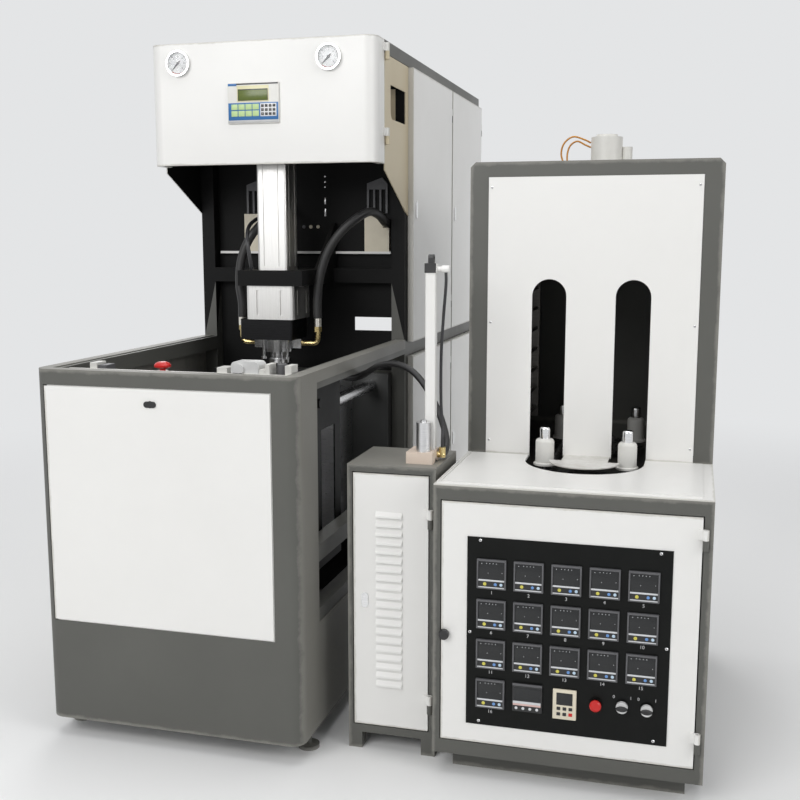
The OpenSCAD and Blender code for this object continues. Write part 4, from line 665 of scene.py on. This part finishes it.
def smeared(name, colour, roughness, scale, cloud, clean, greasy):
    """Glass or clear plastic, duller where fingers left a smear."""
    material, tree, shader = finish(name, colour, roughness)
    smear = place(tree, grain, Scale=scale, Cloud=cloud)
    tree.links.new(spread(tree, smear["Tone"], 0.0, 1.0, clean, greasy), shader.inputs["Roughness"])
    return material


def bar(shape, size, turn, middle, part):
    """A small bar, sized, turned round its middle and put in its place."""
    made = bmesh.ops.create_cube(shape, size=1)["verts"]
    bmesh.ops.scale(shape, vec=size, verts=made)
    bmesh.ops.rotate(shape, matrix=turn, verts=made)
    bmesh.ops.translate(shape, vec=middle, verts=made)
    give_part(made, part)


def numeral(shape, text, size, middle, part):
    """A plain printed numeral that faces the front, 0.2 mm thick."""
    curve = bpy.data.curves.new("numeral", "FONT")
    curve.body = text
    curve.size = size
    curve.align_x = "CENTER"
    curve.align_y = "CENTER"
    curve.extrude = 0.1
    curve.resolution_u = 3
    holder = bpy.data.objects.new("numeral", curve)
    outline = bpy.data.meshes.new_from_object(holder)
    outline.transform(Matrix.Translation(middle) @ Matrix.Rotation(math.pi / 2, 4, "X"))
    before = len(shape.faces)
    shape.from_mesh(outline)
    shape.faces.ensure_lookup_table()
    for face in shape.faces[before:]:
        face.material_index = part
    bpy.data.objects.remove(holder)
    bpy.data.curves.remove(curve)
    bpy.data.meshes.remove(outline)


dial_white = printed("dial_white", (0.78, 0.79, 0.79), 0.45, (0.80, 0.80, 0.80), (0.72, 0.73, 0.74),
                     scale=700.0, cloud=30.0)
ink = printed("dial_ink", (0.02, 0.02, 0.02), 0.5, (0.015, 0.015, 0.016), (0.03, 0.03, 0.03))
red_ink = printed("red_ink", (0.42, 0.03, 0.02), 0.5, (0.45, 0.03, 0.02), (0.35, 0.03, 0.03))
glass = smeared("gauge_glass", (1, 1, 1), 0.03, 60.0, 25.0, clean=0.02, greasy=0.09)
shader_of(glass).inputs["Transmission Weight"].default_value = 1.0
shader_of(glass).inputs["IOR"].default_value = 1.3

header_y = 680
gauge_x = (101, 587)
gauge_z = 1873
dial_r = 33.2
dial_disc = [(0, 0), (dial_r, 0), (dial_r, 0.5), (0, 0.5)]
glass_disc = [(0, 0), (dial_r, 0), (dial_r, 1.0), (dial_r - 1, 1.5), (0, 1.5)]
scale_start, scale_sweep, scale_steps = -135, 270, 30
red_start, red_sweep, red_steps = 141, 78, 14
red_r, number_r = 30.5, 19.5
ink_lift, number_lift = Vector((0, -0.6, 0)), Vector((0, -0.7, 0))
DIAL, INK, RED_ARC = range(3)


def round_dial(degrees):
    """The direction on a dial at an angle from its top, and the turn of a mark there."""
    angle = math.radians(degrees)
    return Vector((math.sin(angle), 0, math.cos(angle))), Matrix.Rotation(angle, 3, "Y")


shape = bmesh.new()
for x in gauge_x:
    centre = Vector((x, header_y - 5, gauge_z))
    turned(shape, dial_disc, centre, to_front, DIAL, 48)
    for mark in range(scale_steps + 1):
        long_mark = mark % 5 == 0
        outward, turn = round_dial(scale_start + scale_sweep * mark / scale_steps)
        mark_r, length, width = (27.5, 6.0, 1.1) if long_mark else (28.5, 3.6, 0.5)
        bar(shape, (width, 0.2, length), turn, centre + outward * mark_r + ink_lift, INK)
        if long_mark:
            numeral(shape, str(mark // 5), 7.0, centre + outward * number_r + number_lift, INK)
    # The red arc below, from the scale's end round to its start
    for step in range(red_steps + 1):
        outward, turn = round_dial(red_start + red_sweep * step / red_steps)
        bar(shape, (3.3, 0.2, 2.4), turn, centre + outward * red_r + ink_lift, RED_ARC)
build("gauge_dials", shape, moulder, (dial_white, ink, red_ink), "cover")

shape = bmesh.new()
for x in gauge_x:
    turned(shape, glass_disc, (x, header_y - 10, gauge_z), to_front, 0, 48)
build("gauge_glasses", shape, moulder, (glass,), "cover")

# Controller: a flat membrane keypad in a moulded case, set in the cover. It has an olive display, two rows of
# pale green keys on a blue field, and a small block of white number keys.
display = printed("olive_display", (0.10, 0.14, 0.02), 0.25, (0.115, 0.15, 0.02), (0.085, 0.12, 0.02),
                  scale=500.0, cloud=40.0)
cream_print = moulded("cream_print", (0.72, 0.68, 0.42), (0.68, 0.64, 0.40), 0.35)
green_key = moulded("green_key", (0.50, 0.66, 0.30), (0.44, 0.60, 0.27), 0.35)
white_key = moulded("white_key", (0.78, 0.78, 0.78), (0.70, 0.70, 0.71), 0.35)
silver_edge = moulded("silver_edge", (0.50, 0.50, 0.50), (0.42, 0.42, 0.42), 0.35)
controller_parts = (white_plastic, blue_plastic, cream_print, display, silver_edge, black_plastic, green_key,
                    white_key)
CASE, FIELD, PRINT, DISPLAY, SILVER, DARK, GREEN, WHITE = range(8)

corners = [(corner - moulder) * 1000 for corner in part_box("controller")]
left, foot, right, top = corners[0].x, corners[0].z, corners[1].x, corners[1].z
face_y = header_y - 7
shape = bmesh.new()
block(shape, (left, face_y, foot), (right, header_y, top), CASE, 1.6, 3)
block(shape, (left + 7, header_y, foot + 7), (right - 7, header_y + 45, top - 7), DARK, 1.0)
# Layers of the face: left, foot, right, top, how far each stands out, part and edge
for x, z, x2, z2, lift, part, soft in (
        (left + 1, foot + 2, right - 1, foot + 9, 0.6, SILVER, 0.3),
        (left + 2, top - 9, left + 30, top - 2, 0.5, FIELD, 0.2),
        (left + 30, top - 6, right - 2, top - 2, 0.5, DARK, 0.2),
        (left + 31, top - 56, left + 134, top - 9, 0.9, PRINT, 0.3),
        (left + 34, top - 53, left + 131, top - 19, 1.3, DARK, 0.3),
        (left + 36, top - 52, left + 129, top - 22, 1.6, DISPLAY, 0.3),
        (left + 2, foot + 10, right - 2, foot + 61, 0.5, FIELD, 0.2),
        (left + 106, foot + 20, left + 158, foot + 58, 0.8, WHITE, 0.3)):
    block(shape, (x, face_y - lift, z), (x2, face_y, z2), part, soft)
green_w, green_h, green_across, green_down = 20.5, 16.5, 23, 19.5
for column in range(4):
    for row in range(2):
        x, z = left + 12 + green_across * column, foot + 21 + green_down * row
        block(shape, (x, face_y - 1.6, z), (x + green_w, face_y, z + green_h), GREEN, 0.8, 3)
digit_w, digit_h, digit_across, digit_down = 10, 9.4, 12.4, 12
for column in range(4):
    for row in range(3):
        x, z = left + 108.5 + digit_across * column, foot + 22.5 + digit_down * row
        block(shape, (x, face_y - 1.5, z), (x + digit_w, face_y, z + digit_h), WHITE, 0.6)
        middle = (x + digit_w / 2, face_y - 1.6, z + digit_h / 2)
        numeral(shape, str((1 + column + 4 * row) % 10), 6.0, middle, DARK)
build("controller_face", shape, moulder, controller_parts, "cover", ("controller",))

# Heater instruments: sixteen panel regulators, a timer and a keypad unit, each with its housing behind the
# black panel. A regulator has a grey frame, a dark window, a white rule and three small keys below it.
window_glass = smeared("dark_window", (0.012, 0.013, 0.014), 0.12, 80.0, 22.0, clean=0.08, greasy=0.24)
yellow_key = moulded("yellow_key", (0.66, 0.60, 0.10), (0.58, 0.52, 0.08), 0.3)
blue_key = moulded("blue_key", (0.14, 0.30, 0.62), (0.12, 0.26, 0.55), 0.3)
ice_key = moulded("ice_key", (0.52, 0.66, 0.78), (0.46, 0.60, 0.72), 0.3)
rule_white = moulded("rule_white", (0.66, 0.67, 0.68), (0.60, 0.61, 0.62), 0.4)
band_pink = moulded("band_pink", (0.70, 0.48, 0.44), (0.64, 0.44, 0.40), 0.4)
instrument_parts = (grey_plastic, window_glass, rule_white, black_plastic, yellow_key, blue_key, ice_key,
                    cream_plastic, band_pink, red_plastic)
GREY, WINDOW, RULE, BLACK, YELLOW, BLUE, ICE, CREAM, PINK, RED = range(10)

panel_y = -2
regulator_w, regulator_h = 72, 74
regulator_x = [111 + 90.5 * i for i in range(5)]
regulator_z = [501 - 102 * k for k in range(4)]
regulator_places = [(x, z) for z in regulator_z[:3] for x in regulator_x]
regulator_places += [(regulator_x[0], regulator_z[3])]
regulator_keys = ((20, 4.2, YELLOW), (46, 3.8, BLUE), (60, 3.8, ICE))
big_lamps = ((12, 63), (24, 64), (32, 64), (40, 64), (48, 64))
small_lamps = ((28, 40), (62, 42))


def key(shape, x, z, radius, y, part):
    """A small round push key with a domed top."""
    dome = [(0, 0), (radius, 0), (radius, 0.8), (radius * 0.8, 1.3), (0, 1.5)]
    turned(shape, dome, (x, y, z), to_front, part, 16)


def regulator(shape, x, z):
    """One panel regulator, from its lower left corner."""
    front = panel_y - 8
    x2, z2 = x + regulator_w, z + regulator_h
    block(shape, (x + 5, panel_y, z + 6), (x2 - 5, 60, z2 - 6), GREY, 1.0)
    # Frame of four bars round the window and the key strip
    block(shape, (x, front, z2 - 5), (x2, panel_y, z2), GREY, 1.0)
    block(shape, (x, front, z), (x2, panel_y, z + 3), GREY, 1.0)
    block(shape, (x, front, z + 2), (x + 4, panel_y, z2 - 4), GREY, 1.0)
    block(shape, (x2 - 4, front, z + 2), (x2, panel_y, z2 - 4), GREY, 1.0)
    # Window, upper rule, key strip and lower rule: how far back each lies, its foot and its top
    for back, low, high, part, soft in ((3, z + 23, z2 - 4, WINDOW, 0.4),
                                        (1.2, z + 19.5, z + 23.5, RULE, 0.5),
                                        (2, z + 5, z + 20, BLACK, 0.4),
                                        (1.2, z + 2.5, z + 5.5, RULE, 0.5)):
        block(shape, (x + 3, front + back, low), (x2 - 3, panel_y, high), part, soft)
    for key_x, radius, part in regulator_keys:
        key(shape, x + key_x, z + 12.3, radius, front + 2.2, part)
    for lamps, radius in ((big_lamps, 1.0), (small_lamps, 0.8)):
        for lamp_x, lamp_z in lamps:
            key(shape, x + lamp_x, z + lamp_z, radius, front + 3.2, RULE)


shape = bmesh.new()
for x, z in regulator_places:
    regulator(shape, x, z)

# Timer with a pale band above its four setting keys
unit_front = -9
timer_x, timer_z, timer_w, timer_h = 203, 196, 73, 72
timer_x2, timer_z2 = timer_x + timer_w, timer_z + timer_h
block(shape, (timer_x, unit_front, timer_z), (timer_x2, panel_y, timer_z2), BLACK, 1.2)
block(shape, (timer_x + 5, panel_y, timer_z + 5), (timer_x2 - 5, 55, timer_z2 - 5), GREY, 1.0)
for i in range(4):
    key(shape, timer_x + 10 + 17 * i, timer_z + 9, 3.6, unit_front, RULE)
# Keypad unit: cream case, dark display and two rows of three keys, the last one red
keypad_x, keypad_z, keypad_w, keypad_h = 302, 188, 57, 76
keypad_x2, keypad_z2 = keypad_x + keypad_w, keypad_z + keypad_h
block(shape, (keypad_x, unit_front, keypad_z), (keypad_x2, panel_y, keypad_z2), CREAM, 2.0, 3)
block(shape, (keypad_x + 5, panel_y, keypad_z + 5), (keypad_x2 - 5, 40, keypad_z2 - 5), GREY, 1.0)
# What is let into both fronts: left, foot, right, top, how far each stands out, part and edge
let_in = 0.5
for x, z, x2, z2, lift, part, soft in (
        (timer_x, timer_z2 - 6, timer_x2, timer_z2, 0.6, GREY, 0.5),
        (timer_x + 4, timer_z + 30, timer_x2 - 4, timer_z + 62, 0.8, WINDOW, 0.4),
        (timer_x + 2, timer_z + 21, timer_x2 - 3, timer_z + 27, 1.2, RULE, 0.5),
        (timer_x + 2, timer_z + 16, timer_x2 - 3, timer_z + 21, 1.0, PINK, 0.5),
        (keypad_x + 9, keypad_z + 37, keypad_x2 - 9, keypad_z + 68, 0.8, WINDOW, 0.5)):
    block(shape, (x, unit_front - lift, z), (x2, unit_front + let_in, z2), part, soft)
pad_key_w, pad_key_h, pad_key_lift = 9, 8, 1.6
for column in range(3):
    for row in range(2):
        x, z = keypad_x + 10 + 14.5 * column, keypad_z + 10 + 14 * row
        part = RED if (column, row) == (2, 0) else BLACK
        block(shape, (x, unit_front - pad_key_lift, z), (x + pad_key_w, unit_front + let_in, z + pad_key_h),
              part, 0.8)
build("heater_instruments", shape, heater, instrument_parts, "heater_door", ("regulators",))

# Panel print and screws: a plain number under each regulator, 0 and 1 beside the selectors, and six pan head
# screws that hold the black panel to the door. Six smaller ones hold the hood's panel.
print_white = printed("panel_print", (0.62, 0.62, 0.62), 0.5, (0.64, 0.64, 0.64), (0.52, 0.52, 0.53))
print_y = panel_y - 0.1
shape = bmesh.new()
for count, (x, z) in enumerate(regulator_places):
    numeral(shape, str(count + 1), 12, (x + regulator_w / 2, print_y, z - 11), 0)
selector_print_z = 258
for x, text in ((447, "0"), (487, "1"), (505, "0"), (545, "1")):
    numeral(shape, text, 11, (x, print_y, selector_print_z), 0)
build("panel_numbers", shape, heater, (print_white,), "heater_door")


HEAD, RECESS = range(2)


def pan_screw(shape, centre, radius):
    """A pan head screw with a cross recess, seen from the front."""
    centre, out = Vector(centre), Vector(to_front)
    head = [(0, 0), (radius, 0), (radius, radius * 0.3), (radius * 0.75, radius * 0.55), (0, radius * 0.62)]
    turned(shape, head, centre, out, HEAD, 20)
    across = out.orthogonal().normalized()
    for along in (across, out.cross(across)):
        turn = Matrix((along, out.cross(along), out)).transposed()
        bar(shape, (radius * 1.1, radius * 0.22, radius * 0.1), turn, centre + out * radius * 0.6, RECESS)


hood_front = 410
for name, body, y, radius, screws in (
        ("panel_screws", "heater_door", panel_y, 4.0,
         ((94, 386), (565, 390), (118, 157), (542, 157), (118, 620), (545, 620))),
        ("hood_screws", "base", hood_front, 3.4,
         ((60, 1117), (600, 1117), (60, 1480), (600, 1480), (60, 790), (600, 790)))):
    shape = bmesh.new()
    for x, z in screws:
        pan_screw(shape, (x, y, z), radius)
    build(name, shape, heater, (plated_steel, black_plastic), body)

# Mandrels: turned plastic holders that carry the preforms through the oven, each with a flange, a body with a
# rounded shoulder and a bright spigot that the preform's neck is pushed over.
chrome_spigot = metal("chrome_spigot", (0.84, 0.84, 0.84), (0.74, 0.74, 0.75), 0.12, (1, 1, 10), 40.0)
mandrel_body = [(0, 0), (29, 0), (30, 1), (30, 6), (29, 7), (26.2, 7), (25, 8.2), (25, 63), (24.4, 67),
                (22.5, 70.3), (19.5, 72.4), (16, 73), (0, 73)]
spigot = [(0, 71), (14, 71), (14, 99.5), (13.4, 101.4), (11, 104.3), (9.6, 105), (0, 105)]
upwards = (0, 0, 1)
HOLDER, SPIGOT = range(2)
for number in range(1, 5):
    node = "mandrel_%d" % number
    low, high = ((corner - heater) * 1000 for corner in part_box(node))
    stand = ((low.x + high.x) / 2, (low.y + high.y) / 2, low.z)
    shape = bmesh.new()
    turned(shape, mandrel_body, stand, upwards, HOLDER, 48)
    turned(shape, spigot, stand, upwards, SPIGOT, 40)
    build("mandrel_finish_%d" % number, shape, heater, (white_plastic, chrome_spigot), node,
          (node,))

# Blow hoses and lines: rubber hoses run from the nozzle's ferrules over to the bulkhead behind, a thin line
# feeds the stretch cylinder, and a supply hose hangs over to the air cabinet. Each is a tube along its route.
rubber, tree, shader = finish("black_rubber", (0.013, 0.013, 0.014), 0.5)
wrap = place(tree, grain, Scale=160.0, Cloud=14.0)
tree.links.new(tint(tree, wrap["Tone"], (0.010, 0.010, 0.011), (0.028, 0.027, 0.026)),
               shader.inputs["Base Color"])
tree.links.new(spread(tree, wrap["Tone"], 0.0, 1.0, 0.38, 0.6), shader.inputs["Roughness"])
raise_by(tree, shader, wrap["Height"], strength=0.25, distance=0.0006)
thin_tube = printed("thin_line", (0.02, 0.02, 0.022), 0.32, (0.012, 0.012, 0.014), (0.03, 0.03, 0.032),
                    scale=90.0, cloud=20.0)


def smooth_route(points, steps=6):
    """A smooth curve through a route's points, with so many steps between two of them."""
    line = []
    last = len(points) - 1
    for i in range(last):
        a, b, c, d = (Vector(points[min(max(k, 0), last)]) for k in (i - 1, i, i + 1, i + 2))
        for k in range(steps):
            t = k / steps
            line.append(0.5 * (2 * b + (c - a) * t + (2 * a - 5 * b + 4 * c - d) * t * t
                               + (3 * b - a - 3 * c + d) * t ** 3))
    line.append(Vector(points[-1]))
    return line


def hose(name, unit, route, diameter, material, node):
    """A round hose along its route, with both ends closed."""
    line = [unit + point / 1000 for point in smooth_route(route)]
    curve = bpy.data.curves.new(name, "CURVE")
    curve.dimensions = "3D"
    curve.bevel_depth = diameter / 2
    curve.bevel_resolution = 5
    curve.use_fill_caps = True
    strand = curve.splines.new("POLY")
    strand.points.add(len(line) - 1)
    for point, spot in zip(strand.points, line):
        point.co = (*spot, 1)
    strand.use_smooth = True
    curve.materials.append(material)
    piece = bpy.data.objects.new(name, curve)
    scene.collection.objects.link(piece)
    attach(piece, "base")
    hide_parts(node)


right_hose = [[497, 805, 1093], [497, 805, 1150], [506, 806, 1225], [534, 808, 1305], [575, 815, 1365],
              [620, 840, 1408], [648, 885, 1428], [660, 945, 1418], [662, 1010, 1396], [662, 1058.5, 1396]]
left_hose = [[238, 805, 1093], [238, 805, 1140], [230, 806, 1200], [236, 810, 1275], [262, 822, 1345],
             [300, 850, 1398], [318, 900, 1428], [318, 970, 1440], [318, 1058.5, 1440]]
stretch_line = [[300, 745, 1246.5], [296, 738, 1290], [286, 745, 1345], [276, 790, 1385], [272, 880, 1410],
                [272, 970, 1416], [272, 1058.5, 1416]]
supply_hose = [[645, 1059, 938], [645, 900, 936], [645, 700, 934], [651, 610, 935], [674, 560, 937],
               [708, 538, 942], [744, 522, 958], [790, 500, 984], [850, 460, 996], [906, 428, 982],
               [954, 398, 942], [996, 366, 884], [1024, 335, 828], [1034, 300, 796], [1035, 260, 788]]
cylinder_line = [[1042, 250, 1258.5], [1042, 250, 1225], [1035, 256, 1150], [1028, 262, 1050],
                 [1028, 262, 930], [1034, 256, 860], [1035, 250, 830], [1035, 250, 808.5]]
for name, route, diameter, material in (("right_blow_hose", right_hose, 0.028, rubber),
                                        ("left_blow_hose", left_hose, 0.028, rubber),
                                        ("stretch_line", stretch_line, 0.012, thin_tube),
                                        ("supply_hose", supply_hose, 0.018, rubber),
                                        ("cylinder_line", cylinder_line, 0.008, thin_tube)):
    hose(name, moulder, route, diameter, material, "air_hoses")

# Motor leads: two wires in orange sleeves leave a hole in the hood's roof and bend over into the fan motor's
# side. Each is a thin tube along its route, made as the hoses are.
sleeve = printed("orange_sleeve", (0.62, 0.25, 0.02), 0.45, (0.66, 0.30, 0.03), (0.42, 0.16, 0.02),
                 scale=120.0, cloud=30.0)
first_lead = [[232, 673, 1515], [230, 673, 1548], [228, 673, 1580], [236, 672, 1606], [256, 670, 1618],
              [278, 669, 1608], [294.9, 668, 1600]]
second_lead = [[226, 670, 1515], [221, 668, 1550], [212, 664, 1582], [220, 660, 1612], [246, 658, 1630],
               [280, 660, 1620], [295.2, 661, 1612]]
for name, route in (("first_motor_lead", first_lead), ("second_motor_lead", second_lead)):
    hose(name, heater, route, 0.005, sleeve, "motor_leads")
